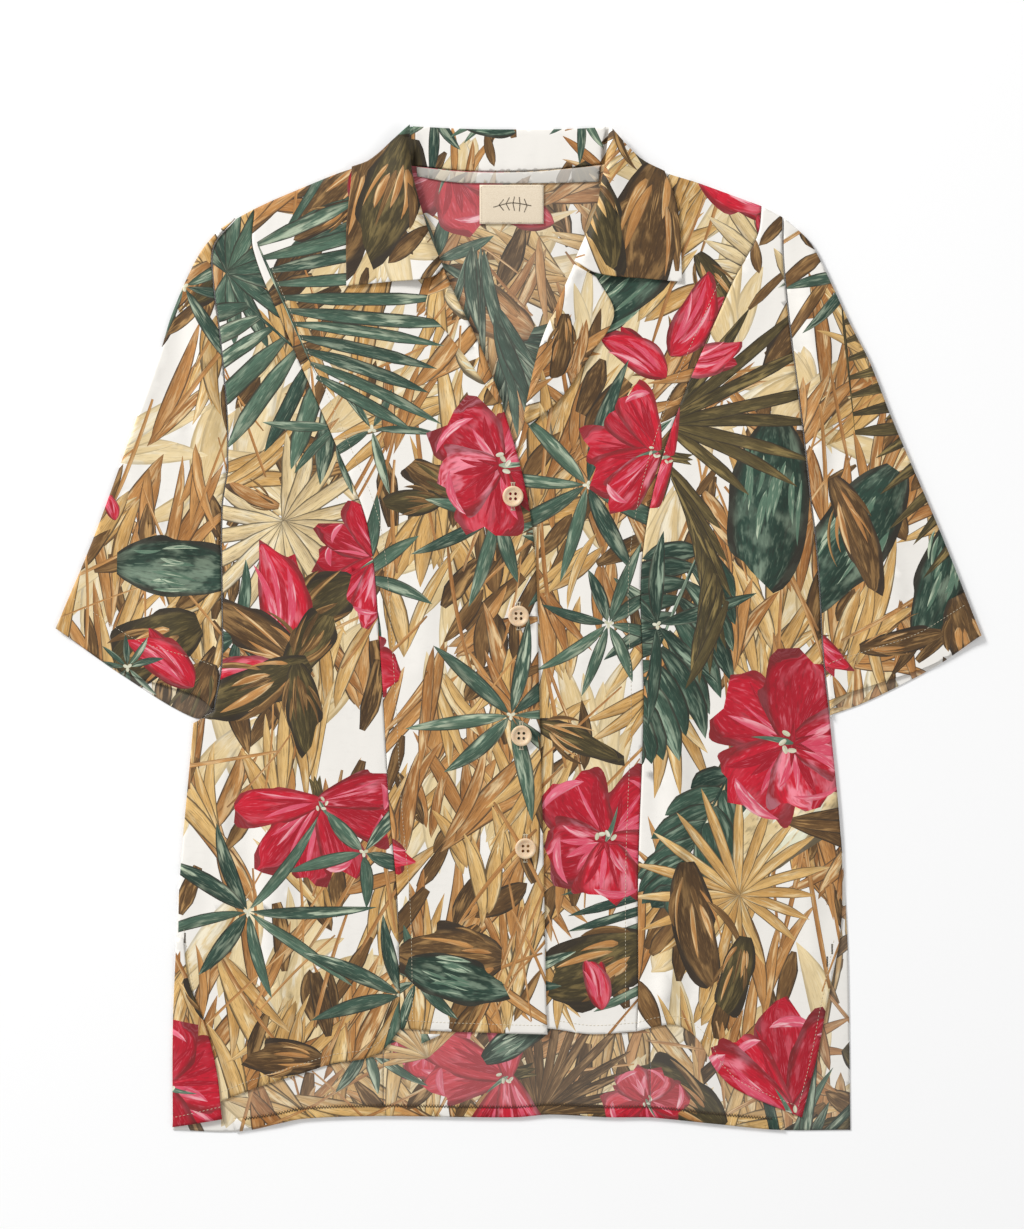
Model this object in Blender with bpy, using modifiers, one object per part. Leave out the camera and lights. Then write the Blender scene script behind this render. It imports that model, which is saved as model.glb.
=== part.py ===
"""A short-sleeved hawaiian shirt with a camp collar, laid flat on its back with its buttons done up.

Millimetres throughout, turned to metres when a mesh is made. +X is the viewer's right, which is the
wearer's left, +Y points to the collar and +Z up from the table. The origin is the middle of the
ground the shirt covers. Left and right in the names are the viewer's.

Each cut piece is an open sheet with a Solidify wall. Sheets lie on each other in layers: the back on
the table, the fronts on the back, and the collar on the fronts. The back fall of the collar lies
under the back, so everything above it is one layer higher there.
"""

import math

import bmesh
import bpy
from mathutils import Vector

# Driving sizes
MM = 0.001
WALL = 1.0  # cloth wall
LAYER = 1.5  # from one layer of cloth to the next
SEAM_INSET = 0.2  # each piece stops this far short of its seam line
ARMHOLE_INSET = 0.8  # and a sleeve this far short of the armhole
ARMHOLE_ROWS = 8
UNDERARM_ROWS = 8
SIDE_ROWS = 7
SLIT_ROWS = 5
BACK_ROWS = ARMHOLE_ROWS + UNDERARM_ROWS + SIDE_ROWS
FRONT_ROWS = BACK_ROWS + SLIT_ROWS
NECK_COLUMNS = 4
PLACKET_COLUMNS = (45, 33, 17, 0)  # distances from the front edge
COLLAR_RAMP = 45  # length over which the back comes down off the collar's fall
SLEEVE_FOLD = 3.0  # height between the layers of a sleeve at its folds
COLLAR_ROLL = 5.0  # how far the collar's leaves stand up at their roll
LAPEL_ROLL = 3.0
ROLL_SHARES = (0.35, 1.0, 0.75, 0.3, 0.05, 0.0)  # of that height, by column out from the roll
ROLL_COLUMNS = (0, 0.08, 0.25, 0.45, 0.7, 1)  # where those columns lie across a leaf
TURNUP_DEPTH = 8.5
COLLAR_GAP = 0.5  # clear distance round the collar's hidden pieces
BUTTON_GAP = 0.4
BUTTON_RADIUS = 7.5
BUTTON_HOLE_RADIUS = 0.75
BUTTON_HOLE_SPACING = 3.2

# Seams and edges of the laid shirt. Each list runs from the collar end down or from left to right,
# with columns x, y.
COLLAR_FOLD = [(-78, 362), (-33, 360), (33, 360), (65, 361.5)]
NECK_SEAM = [(-77, 333), (-38, 329), (8, 329), (44, 332), (62, 334)]
TAPE_EDGE = [(-73, 325), (-50, 321), (-28, 320), (18, 320), (58, 321)]
FALL_EDGE = [(-117, 330), (-75, 314), (-6, 312), (62, 314), (102, 328)]

LEFT = {
    "shoulder": [(-203, 295), (-190, 302)],
    "yoke": [(-190, 302), (-175, 309), (-131, 327), (-107, 335), (-88, 344)],
    "armhole": [(-203, 295), (-219, 275), (-219, 248), (-214, 208), (-209, 150), (-209, 113)],
    "underarm": [(-209, 113), (-213, 85), (-213, 21), (-213, -23), (-219, -59.5)],
    "sleeve end": [(-219, -59.5), (-234, -68)],
    "side": [(-234, -68), (-244, -181), (-245, -218)],
    "slit": [(-245, -218), (-240, -250), (-233, -285), (-225, -317), (-221, -343)],
    "back side": [(-234, -68), (-244, -181), (-247, -239), (-249, -291), (-249, -361)],
    "princess": [
        (-190, 302), (-191, 273), (-167, 213), (-131, 131), (-108, 71), (-99, -27), (-93, -129),
        (-87, -198), (-85, -288),
    ],
    "hem": [
        (-221, -343), (-187, -330), (-155, -320), (-133, -313), (-108, -309), (-96, -302),
        (-85, -288),
    ],
    "centre hem": [(-85, -288), (-52, -290), (21, -292)],
    "back princess": [(-190, 302), (-160, 240), (-128, 150), (-106, 50), (-98, -80), (-97, -351)],
    "back hem": [(-249, -361), (-199, -362), (-155, -353), (-97, -351)],
    "front edge": [
        (-88, 344), (-78, 321), (-66, 284), (-48, 239), (-28, 200), (-12, 161), (-5, 140), (5, 102),
        (12, 55), (15, -43), (18, -159), (20, -265), (21, -292),
    ],
    "sleeve fold": [
        (-203, 295), (-217, 285), (-231, 267), (-249, 227), (-258, 198), (-274, 153), (-305, 67),
        (-333, 0),
    ],
    "sleeve hem": [(-219, -59), (-231, -49), (-285, -31), (-333, 0)],
    "sleeve back hem": [(-219, -59), (-232, -65), (-285, -34), (-333, 0)],
    "roll": [(-78, 362), (-77, 333), (-70, 303), (-64, 284), (-54, 260)],
    "leaf top": [(-78, 362), (-89, 352), (-107, 337), (-120, 332)],
    "leaf outer": [(-120, 332), (-121, 317), (-124, 289), (-124, 246)],
    "leaf end": [(-54, 260), (-62, 252), (-93, 249), (-124, 246)],
    "lapel roll": [(-54, 259), (-45, 239), (-26, 200), (-11, 161)],
    "lapel outer": [(-62, 251), (-67, 229), (-56, 218), (-33, 188), (-15, 162)],
}

RIGHT = {
    "shoulder": [(175, 304), (190, 296)],
    "yoke": [(74, 346), (89, 335), (105, 328), (131, 320), (175, 304)],
    "armhole": [(190, 296), (190, 269), (195, 217), (201, 170), (207, 121), (210, 91)],
    "underarm": [(210, 91), (213, 69), (216, 33), (219, -19), (224, -64.5)],
    "side": [(224, -64.5), (232, -150), (233, -200), (231, -226)],
    "slit": [(231, -226), (225, -256), (221, -276), (215, -308), (204, -352)],
    "back side": [(224, -64.5), (233, -159), (237, -226), (238, -270), (239, -361)],
    "princess": [
        (175, 304), (172, 283), (153, 247), (108, 138), (89, 51), (90, -54), (86, -176), (86, -264),
        (85, -290),
    ],
    "hem": [(85, -290), (108, -285), (118, -287), (130, -297), (142, -318), (157, -332), (204, -352)],
    "centre hem": [(-9, -288), (22, -288), (52, -292), (85, -290)],
    "back princess": [(175, 304), (150, 240), (120, 150), (101, 50), (95, -80), (95, -352)],
    "back hem": [(95, -352), (144, -357), (185, -361), (239, -361)],
    "front edge": [
        (74, 346), (62, 320), (59, 303), (42, 262), (32, 239), (17, 203), (9, 172), (0, 138),
        (-14, 118), (-24, 95), (-18, 55), (-15, -43), (-12, -159), (-10, -265), (-9, -288),
    ],
    "sleeve fold": [
        (190, 296), (208, 280), (216, 267), (239, 218), (252, 193), (269, 150), (304, 68), (333, -5),
    ],
    "sleeve hem": [(223, -63), (228, -51), (255, -41), (298, -26), (333, -5)],
    "sleeve back hem": [(223, -63), (250, -53), (301, -27), (333, -5)],
    "roll": [(65, 361.5), (62, 334), (59, 320), (56, 303), (40, 264)],
    "leaf top": [(65, 361.5), (77, 348), (89, 337), (105, 329)],
    "leaf outer": [(105, 329), (113, 309), (116, 290), (118, 249)],
    "leaf end": [(40, 264), (56, 255), (95, 251), (118, 249)],
    "lapel roll": [(40, 262), (30, 239), (15, 203), (3, 150)],
    "lapel outer": [(56, 253), (69, 226), (51, 195), (30, 165), (8, 146)],
}

BACK_HEM = [(-97, -351), (-3, -352), (22, -350), (66, -352), (95, -352)]
HEM_TURNUP = [
    (-205, -361.5), (-175, -357), (-155, -353), (-97, -351), (-3, -352), (22, -350), (66, -352),
    (95, -352), (144, -357), (190, -361),
]
# The stretch of the left back that is turned round to the front beside the slit
TURNED_OUTER = [(-246, -222), (-247, -239), (-249, -291), (-249, -359)]
TURNED_EDGE = [(-241, -222), (-237, -253), (-225, -285), (-217, -317), (-213, -353)]
FACING_CORNER = [(-70, -291.5), (-56, -291.5), (-57, -293), (-70, -299)]
LABEL = {"left": -28, "right": 18, "top": 319, "bottom": 291}
BUTTONS = [(-4, 95), (0, 9), (2, -77), (5, -158)]

# Largest soft folds of the top layer: start x, start y, end x, end y, height, half width
FOLDS = [
    (-180, -150, -172, -270, 2.5, 14),  # stands up the left side panel from the hem
    (117, -70, 106, -262, 2.8, 12),  # the loose pleat beside the right princess seam
    (134, 60, 137, -20, 1.5, 12),
    (-236, 225, -222, 150, 3.0, 13),  # sleeve heads
    (214, 235, 222, 150, 3.0, 13),
    (-262, 70, -240, -20, 2.5, 18),
    (246, 90, 262, 0, 2.5, 18),
    (-165, 60, -160, -70, 2.0, 22),
    (180, 150, 178, 20, 2.0, 22),
]


def clear_scene():
    for thing in list(bpy.data.objects):
        bpy.data.objects.remove(thing)


def smoothstep(low, high, value):
    t = min(1.0, max(0.0, (value - low) / (high - low)))
    return t * t * (3 - 2 * t)


def spline(points, steps_each=12):
    """A smooth line through the points, as a dense polyline."""
    knots = [Vector(p) for p in points]
    knots = [2 * knots[0] - knots[1]] + knots + [2 * knots[-1] - knots[-2]]
    line = [knots[1]]
    for before, start, end, after in zip(knots, knots[1:], knots[2:], knots[3:]):
        span = (end - start).length
        slope_in = (end - before) * span / (span + (start - before).length)
        slope_out = (after - start) * span / (span + (after - end).length)
        for step in range(1, steps_each + 1):
            t = step / steps_each
            line.append(
                start * (2 * t**3 - 3 * t**2 + 1)
                + slope_in * (t**3 - 2 * t**2 + t)
                + end * (3 * t**2 - 2 * t**3)
                + slope_out * (t**3 - t**2)
            )
    return line


def sample(points, count, crowd=1.0):
    """count + 1 points along the smooth line, closer together at its start when crowd is over 1."""
    line = spline(points)
    reach = [0.0]
    for a, b in zip(line, line[1:]):
        reach.append(reach[-1] + (b - a).length)
    result = []
    index = 0
    for step in range(count + 1):
        target = reach[-1] * (step / count) ** crowd
        while index < len(line) - 2 and reach[index + 1] < target:
            index += 1
        share = (target - reach[index]) / (reach[index + 1] - reach[index])
        result.append(line[index].lerp(line[index + 1], share))
    return result


def chain(*parts):
    """Joins sampled parts that share their end points."""
    result = list(parts[0])
    for part in parts[1:]:
        result += part[1:]
    return result


def coons(top, bottom, left, right):
    """Rows of plan points that fill the four sampled edges."""
    rows, columns = len(left) - 1, len(top) - 1
    grid = []
    for j in range(rows + 1):
        v = j / rows
        row = []
        for i in range(columns + 1):
            u = i / columns
            ruled = top[i] * (1 - v) + bottom[i] * v + left[j] * (1 - u) + right[j] * u
            upper = top[0].lerp(top[-1], u)
            lower = bottom[0].lerp(bottom[-1], u)
            row.append(ruled - upper.lerp(lower, v))
        grid.append(row)
    return grid


def inset(grid, amount):
    """Moves the rim of a grid inwards, so that pieces stay clear of each other at a seam."""
    rows, columns = len(grid) - 1, len(grid[0]) - 1
    moved = [list(row) for row in grid]
    for j in range(rows + 1):
        for i in range(columns + 1):
            inner_j = min(max(j, 1), rows - 1) if rows > 1 else j
            inner_i = min(max(i, 1), columns - 1) if columns > 1 else i
            if (inner_j, inner_i) != (j, i):
                towards = grid[inner_j][inner_i] - grid[j][i]
                moved[j][i] = grid[j][i] + towards.normalized() * amount
    return moved


def collar_rise(x, y):
    """1 over the collar's hidden fall, 0 away from it."""
    outside = max(abs(x + 7) - 113, 312 - y)
    return 1 - smoothstep(0, COLLAR_RAMP, outside)


def front_edge_at(y):
    line = FRONT_EDGE_LINE
    for a, b in zip(line, line[1:]):
        if b.y <= y <= a.y:
            return a.x + (b.x - a.x) * (a.y - y) / (a.y - b.y)
    return line[-1].x


def overlap_rise(x, y):
    """1 where the left front lies on the right front, 0 where it lies on the back."""
    near = (PLACKET_COLUMNS[0] - (front_edge_at(y) - x)) / (PLACKET_COLUMNS[0] - PLACKET_COLUMNS[1])
    return min(1.0, max(0.0, near)) * (1 - smoothstep(140, 185, y))


def fold_lift(x, y):
    lift = 0.0
    for x0, y0, x1, y1, height, width in FOLDS:
        along = Vector((x1 - x0, y1 - y0))
        share = min(1.0, max(0.0, Vector((x - x0, y - y0)).dot(along) / along.length_squared))
        nearest = Vector((x0, y0)) + along * share
        distance = (Vector((x, y)) - nearest).length
        lift += height * math.exp(-((distance / width) ** 2))
    return lift


def back_height(x, y):
    return WALL / 2 + LAYER * collar_rise(x, y)


def right_front_height(x, y):
    return back_height(x, y) + LAYER + fold_lift(x, y)


def left_front_height(x, y):
    return right_front_height(x, y) + LAYER * overlap_rise(x, y)


def material(name, colour, roughness):
    made = bpy.data.materials.new(name)
    made.use_nodes = True
    shader = made.node_tree.nodes["Principled BSDF"]
    shader.inputs["Base Color"].default_value = (*colour, 1.0)
    shader.inputs["Roughness"].default_value = roughness
    made.diffuse_color = (*colour, 1.0)
    return made


def add_object(name, mesh, colour, roughness=0.75):
    thing = bpy.data.objects.new(name, mesh)
    shirt.objects.link(thing)
    if not mesh.materials:
        mesh.materials.append(material(name, colour, roughness))
    return thing


def cloth(name, points, faces, colour):
    """One piece of cloth: an open sheet through the points, with a wall centred on it."""
    mesh = bpy.data.meshes.new(name)
    mesh.from_pydata([tuple(c * MM for c in p) for p in points], [], faces)
    mesh.validate()
    work = bmesh.new()
    work.from_mesh(mesh)
    bmesh.ops.recalc_face_normals(work, faces=work.faces)
    work.to_mesh(mesh)
    work.free()
    thing = add_object(name, mesh, colour)
    wall = thing.modifiers.new("wall", "SOLIDIFY")
    wall.thickness = WALL * MM
    wall.offset = 0.0
    mesh.shade_smooth()
    mesh.set_sharp_from_angle(angle=math.radians(35))
    return thing


def grid_faces(rows, columns):
    across = columns + 1
    return [
        (j * across + i, j * across + i + 1, (j + 1) * across + i + 1, (j + 1) * across + i)
        for j in range(rows)
        for i in range(columns)
    ]


def sheet(name, grid, height, colour):
    """A panel over a grid of plan points, at the height that a function of x and y gives."""
    points = [(p.x, p.y, height(p.x, p.y)) for row in grid for p in row]
    return cloth(name, points, grid_faces(len(grid) - 1, len(grid[0]) - 1), colour)


def body_edge(side, below):
    """The outer edge of a body panel: its armhole, the line under the arm and its side seam."""
    parts = [sample(side["armhole"], ARMHOLE_ROWS), sample(side["underarm"], UNDERARM_ROWS)]
    rows = SIDE_ROWS
    if "sleeve end" in side:
        parts.append(sample(side["sleeve end"], 1))
        rows -= 1
    return chain(*parts, sample(side[below], rows))


def make_back():
    """The back is cut in three, with a panel each side of the centre one."""
    yoke_columns, side_columns = 4, 3
    for side, name in ((LEFT, "left"), (RIGHT, "right")):
        seam = sample(side["back princess"], BACK_ROWS, 1.25)
        outer = body_edge(side, "back side")
        top = sample(side["shoulder"], side_columns)
        bottom = sample(side["back hem"], side_columns)
        edges = (outer, seam) if name == "left" else (seam, outer)
        grid = inset(coons(top, bottom, *edges), SEAM_INSET)
        sheet(f"back_side_{name}", grid, back_height, (0.62, 0.5, 0.36))
    top = (
        sample(LEFT["yoke"], yoke_columns)
        + sample(NECK_SEAM, NECK_COLUMNS)
        + sample(RIGHT["yoke"], yoke_columns)
    )
    bottom = sample(BACK_HEM, len(top) - 1)
    seams = [sample(side["back princess"], BACK_ROWS, 1.25) for side in (LEFT, RIGHT)]
    grid = inset(coons(top, bottom, *seams), SEAM_INSET)
    sheet("back_centre", grid, back_height, (0.66, 0.56, 0.42))


def make_side_fronts():
    """A panel between the princess seam and the side seam, open below in a slit."""
    columns = 5
    for side, name, height in (
        (LEFT, "left", left_front_height),
        (RIGHT, "right", right_front_height),
    ):
        seam = sample(side["princess"], FRONT_ROWS)
        outer = chain(body_edge(side, "side"), sample(side["slit"], SLIT_ROWS))
        top = sample(side["shoulder"], columns)
        bottom = sample(side["hem"], columns)
        edges = (outer, seam) if name == "left" else (seam, outer)
        grid = inset(coons(top, bottom, *edges), SEAM_INSET)
        sheet(f"front_side_{name}", grid, height, (0.72, 0.55, 0.33))


def make_centre_fronts():
    """The two fronts between the princess seams. The left one buttons over the right one."""
    seam = sample(LEFT["princess"], FRONT_ROWS)
    edge = sample(LEFT["front edge"], FRONT_ROWS)
    reach = PLACKET_COLUMNS[0]
    hinge = [
        Vector((p.x - reach * min(1.0, (p.x - s.x) / (2 * reach)), p.y)) for p, s in zip(edge, seam)
    ]
    yoke = sample(LEFT["yoke"], 7)
    hinge[0] = yoke[4]
    hem = [seam[-1].lerp(hinge[-1], i / 4) for i in range(5)]
    main = coons(yoke[:5], hem, seam, hinge)
    grid = []
    for j, row in enumerate(main):
        extra = [edge[j] + (hinge[j] - edge[j]) * (away / reach) for away in PLACKET_COLUMNS[1:]]
        grid.append(row + extra)
    grid[0] = yoke[:5] + yoke[5:]
    sheet("front_centre_left", inset(grid, SEAM_INSET), left_front_height, (0.8, 0.66, 0.42))

    seam = sample(RIGHT["princess"], FRONT_ROWS)
    edge = sample(RIGHT["front edge"], FRONT_ROWS)
    grid = coons(sample(RIGHT["yoke"], 6), sample(RIGHT["centre hem"], 6), edge, seam)
    sheet("front_centre_right", inset(grid, SEAM_INSET), right_front_height, (0.76, 0.6, 0.38))


def across_fold(line, index, away_from):
    """The level direction square to a fold line at one of its points, pointing out of the piece."""
    before, after = line[max(0, index - 1)], line[min(len(line) - 1, index + 1)]
    along = (after - before).normalized()
    square = Vector((along.y, -along.x))
    return square if (line[index] - away_from).dot(square) > 0 else -square


def half_turn(centre, outwards, rising):
    """The three middle points of the cloth where it turns over at a sleeve's fold."""
    radius = SLEEVE_FOLD / 2
    points = []
    for angle in (-45, 0, 45) if rising else (45, 0, -45):
        bend = math.radians(angle)
        plan = centre + outwards * radius * math.cos(bend)
        points.append((plan.x, plan.y, WALL / 2 + radius * (1 + math.sin(bend))))
    return points


def make_sleeves():
    """Each sleeve is one flattened tube, folded along its top and under the arm, open at both ends."""
    stations, across = UNDERARM_ROWS + 4, ARMHOLE_ROWS
    margin = SLEEVE_FOLD / 2 + WALL / 2
    for side, name, outwards in ((LEFT, "left", -1), (RIGHT, "right", 1)):
        clear = Vector((outwards * ARMHOLE_INSET, 0))
        under = [p + clear for p in sample(side["underarm"], stations)]
        fold = sample(side["sleeve fold"], stations)
        armhole = [p + clear for p in reversed(sample(side["armhole"], across))]
        hem = [p + clear for p in sample(side["sleeve hem"], across)]
        back_hem = [p + clear for p in sample(side["sleeve back hem"], across)]
        armhole[-1] = fold[0] = fold[0] + clear
        hem[-1] = back_hem[-1] = fold[-1]
        hem[0] = back_hem[0] = under[-1]
        front = coons(armhole, hem, under, fold)
        back = coons(armhole, back_hem, under, fold)
        points = []
        for j in range(stations + 1):
            middle = front[j][across // 2]
            low_out = across_fold(under, j, middle)
            high_out = across_fold(fold, j, middle) if j else (armhole[-1] - armhole[-2]).normalized()
            low, high = under[j] - low_out * margin, fold[j] - high_out * margin
            for i in range(across + 1):
                plan = low if i == 0 else high if i == across else front[j][i]
                edge = min((plan - low).length, (plan - high).length)
                lift = fold_lift(plan.x, plan.y) * smoothstep(0, 30, edge)
                lift += (SLEEVE_FOLD - LAYER) * math.exp(-edge / 9)
                points.append((plan.x, plan.y, WALL / 2 + LAYER + lift))
            points += half_turn(high, high_out, False)
            for i in range(across, -1, -1):
                plan = low if i == 0 else high if i == across else back[j][i]
                points.append((plan.x, plan.y, WALL / 2))
            points += half_turn(low, low_out, True)
        count = len(points) // (stations + 1)
        faces = []
        for j in range(0, stations * count, count):
            for i in range(count):
                after = (i + 1) % count
                faces.append((j + i, j + after, j + count + after, j + count + i))
        cloth(f"sleeve_{name}", points, faces, (0.7, 0.52, 0.3))


def rolled(grid, base, roll, layer):
    """Points of a collar piece whose first column is its roll, which stands up off the front."""
    points = []
    for row in grid:
        for p, share in zip(row, ROLL_SHARES):
            lift = roll * share
            points.append((p.x, p.y, base(p.x, p.y) + LAYER * layer + lift))
    return points


def spread(line):
    """Picks the columns of a collar piece from a dense line, closer together at the roll."""
    return [line[round(share * (len(line) - 1))] for share in ROLL_COLUMNS]


def shorten(line, amount):
    line[0] = line[0] + Vector((amount, 0))
    line[-1] = line[-1] - Vector((amount, 0))


def make_collar():
    """One piece, folded over at its top: the stand inside the neck, the fall behind and two leaves."""
    stand_top = [p - Vector((0, COLLAR_GAP)) for p in sample(COLLAR_FOLD, NECK_COLUMNS)]
    stand_foot = [p + Vector((0, COLLAR_GAP + SEAM_INSET)) for p in sample(NECK_SEAM, NECK_COLUMNS)]
    for row in (stand_top, stand_foot):
        shorten(row, 2)
    rows = [[a.lerp(b, share / 2) for a, b in zip(stand_top, stand_foot)] for share in range(3)]
    sheet("collar_stand", rows, back_height, (0.3, 0.36, 0.24))

    corner_left = sample(LEFT["leaf top"], 3)[1:]
    corner_right = sample(RIGHT["leaf top"], 3)[1:]
    fold = list(reversed(corner_left)) + sample(COLLAR_FOLD, 6) + corner_right
    edge = sample(FALL_EDGE, len(fold) - 1)
    rows = [[a.lerp(b, share / 3) for a, b in zip(fold, edge)] for share in range(4)]
    sheet("collar_fall", inset(rows, COLLAR_GAP), lambda x, y: WALL / 2, (0.36, 0.34, 0.22))

    for side, name, base in (
        (LEFT, "left", left_front_height),
        (RIGHT, "right", right_front_height),
    ):
        roll = sample(side["roll"], 8)
        outer = sample(side["leaf outer"], 8)
        top = spread(sample(side["leaf top"], 40))
        end = spread(sample(side["leaf end"], 40))
        points = rolled(coons(top, end, roll, outer), base, COLLAR_ROLL, 1)
        cloth(f"collar_leaf_{name}", points, grid_faces(8, len(top) - 1), (0.38, 0.32, 0.2))

        roll = sample(side["lapel roll"], 7)
        outer = sample(side["lapel outer"], 7)
        rows = [spread([a.lerp(b, share / 40) for share in range(41)]) for a, b in zip(roll, outer)]
        points = rolled(rows, base, LAPEL_ROLL, 1)
        cloth(f"lapel_{name}", points, grid_faces(7, len(top) - 1), (0.82, 0.74, 0.6))


def make_neck_tape():
    """A bias strip that covers the neck seam, and the woven label stitched below it."""
    top = [p - Vector((0, COLLAR_GAP)) for p in sample(NECK_SEAM, 10)]
    shorten(top, 3.5)
    bottom = sample(TAPE_EDGE, 10)
    rows = [[a.lerp(b, share / 2) for a, b in zip(top, bottom)] for share in range(3)]
    sheet("neck_tape", rows, lambda x, y: back_height(x, y) + LAYER, (0.62, 0.66, 0.58))

    columns, lines = 4, 4
    width = LABEL["right"] - LABEL["left"]
    height = LABEL["top"] - LABEL["bottom"]
    rows = [
        [
            Vector((LABEL["left"] + width * i / columns, LABEL["top"] - height * j / lines))
            for i in range(columns + 1)
        ]
        for j in range(lines + 1)
    ]
    sheet("neck_label", rows, lambda x, y: back_height(x, y) + LAYER, (0.85, 0.76, 0.64))


def make_hem_pieces():
    """The turned-up back hem, the back's turned edge beside the left slit and the facing's corner."""
    low = [p + Vector((0, SEAM_INSET)) for p in sample(HEM_TURNUP, 22)]
    rows = [[p + Vector((0, TURNUP_DEPTH)) for p in low], low]
    sheet("back_hem_turnup", rows, lambda x, y: WALL / 2 + LAYER, (0.4, 0.3, 0.2))

    outer = sample(TURNED_OUTER, 8)
    edge = sample(TURNED_EDGE, 8)
    rows = [[a.lerp(b, share) for share in (0.0, 0.3, 0.65, 1.0)] for a, b in zip(outer, edge)]
    points = []
    for row in rows:
        for i, p in enumerate(row):
            fallen = smoothstep(0, 40, TURNED_OUTER[0][1] - p.y) if i == 0 else 0
            points.append((p.x, p.y, WALL / 2 + LAYER * (2 - fallen)))
    cloth("back_turned_edge", points, grid_faces(8, 3), (0.75, 0.1, 0.16))

    corner = [Vector(p) for p in FACING_CORNER]
    rows = [[corner[0], corner[1]], [corner[3], corner[2]]]
    sheet("facing_corner", rows, lambda x, y: WALL / 2 + LAYER, (0.4, 0.42, 0.3))


def make_buttons():
    """Four-hole buttons with a rounded rim, sewn through both fronts."""
    profile = [
        (0.0, 1.7), (5.2, 1.8), (5.8, 2.4), (6.8, 2.5), (BUTTON_RADIUS, 1.7), (7.3, 0.7), (5.5, 0.0),
        (0.0, 0.0),
    ]
    mesh = bpy.data.meshes.new("button profile")
    edges = [(i, i + 1) for i in range(len(profile) - 1)]
    mesh.from_pydata([(r * MM, 0, z * MM) for r, z in profile], edges, [])
    blank = add_object("button blank", mesh, (0.85, 0.66, 0.48), 0.35)
    turn = blank.modifiers.new("turned", "SCREW")
    turn.steps = turn.render_steps = 20
    turn.use_merge_vertices = True
    turn.merge_threshold = 0.00001

    holes = bpy.data.meshes.new("button holes")
    work = bmesh.new()
    for quarter in range(4):
        angle = math.radians(45 + 90 * quarter)
        made = bmesh.ops.create_cone(
            work, cap_ends=True, segments=6, radius1=BUTTON_HOLE_RADIUS * MM,
            radius2=BUTTON_HOLE_RADIUS * MM, depth=8 * MM,
        )
        reach = BUTTON_HOLE_SPACING / math.sqrt(2) * MM
        shift = Vector((reach * math.cos(angle), reach * math.sin(angle), 0))
        bmesh.ops.translate(work, verts=made["verts"], vec=shift)
    work.to_mesh(holes)
    work.free()
    cutter = bpy.data.objects.new("button hole cutter", holes)
    cutters.objects.link(cutter)
    cutter.hide_render = True
    cutter.display_type = "WIRE"
    cut = blank.modifiers.new("holes", "BOOLEAN")
    cut.object = cutter
    cut.solver = "EXACT"

    bpy.context.view_layer.update()
    shaped = blank.evaluated_get(bpy.context.evaluated_depsgraph_get())
    finished = bpy.data.meshes.new_from_object(shaped)
    bpy.data.objects.remove(blank)
    finished.shade_smooth()
    finished.set_sharp_from_angle(angle=math.radians(40))
    for number, (x, y) in enumerate(BUTTONS, start=1):
        button = add_object(f"button_{number}", finished, (0.85, 0.66, 0.48), 0.35)
        rest = left_front_height(x, y) + WALL / 2 + BUTTON_GAP
        button.location = (x * MM, y * MM, rest * MM)


clear_scene()
shirt = bpy.data.collections.new("hawaiian_shirt")
cutters = bpy.data.collections.new("cutters")
bpy.context.scene.collection.children.link(shirt)
bpy.context.scene.collection.children.link(cutters)
FRONT_EDGE_LINE = spline(LEFT["front edge"])

make_back()
make_side_fronts()
make_centre_fronts()
make_sleeves()
make_collar()
make_neck_tape()
make_hem_pieces()
make_buttons()
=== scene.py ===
import math
import random

import bmesh
import bpy
import numpy as np
from mathutils import Matrix, Vector
from mathutils.geometry import delaunay_2d_cdt


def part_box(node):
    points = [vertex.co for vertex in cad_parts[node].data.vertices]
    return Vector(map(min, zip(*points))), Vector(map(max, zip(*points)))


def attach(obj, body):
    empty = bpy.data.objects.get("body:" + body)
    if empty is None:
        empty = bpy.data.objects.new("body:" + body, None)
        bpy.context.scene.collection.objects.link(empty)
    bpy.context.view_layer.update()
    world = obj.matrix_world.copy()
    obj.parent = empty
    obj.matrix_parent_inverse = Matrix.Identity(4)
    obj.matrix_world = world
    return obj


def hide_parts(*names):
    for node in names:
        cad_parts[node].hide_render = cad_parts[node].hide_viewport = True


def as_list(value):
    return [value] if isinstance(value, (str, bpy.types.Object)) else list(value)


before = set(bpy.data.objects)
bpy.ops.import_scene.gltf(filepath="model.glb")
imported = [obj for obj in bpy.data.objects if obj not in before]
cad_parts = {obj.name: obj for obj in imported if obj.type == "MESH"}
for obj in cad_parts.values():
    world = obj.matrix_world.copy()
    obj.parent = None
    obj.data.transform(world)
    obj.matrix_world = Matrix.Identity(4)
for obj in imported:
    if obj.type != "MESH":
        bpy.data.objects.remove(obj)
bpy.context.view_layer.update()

# ---------------------------------------------------------------------------------------------
# Back, in three panels
# Light viscose, printed on its right side, which lies down here, so that its paler wrong side
# shows inside the neck and below the front hem. Two curved seams join its panels. The plan of
# every piece is in millimetres, as in the solid: +X to the viewer's right, +Y to the collar.

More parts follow.
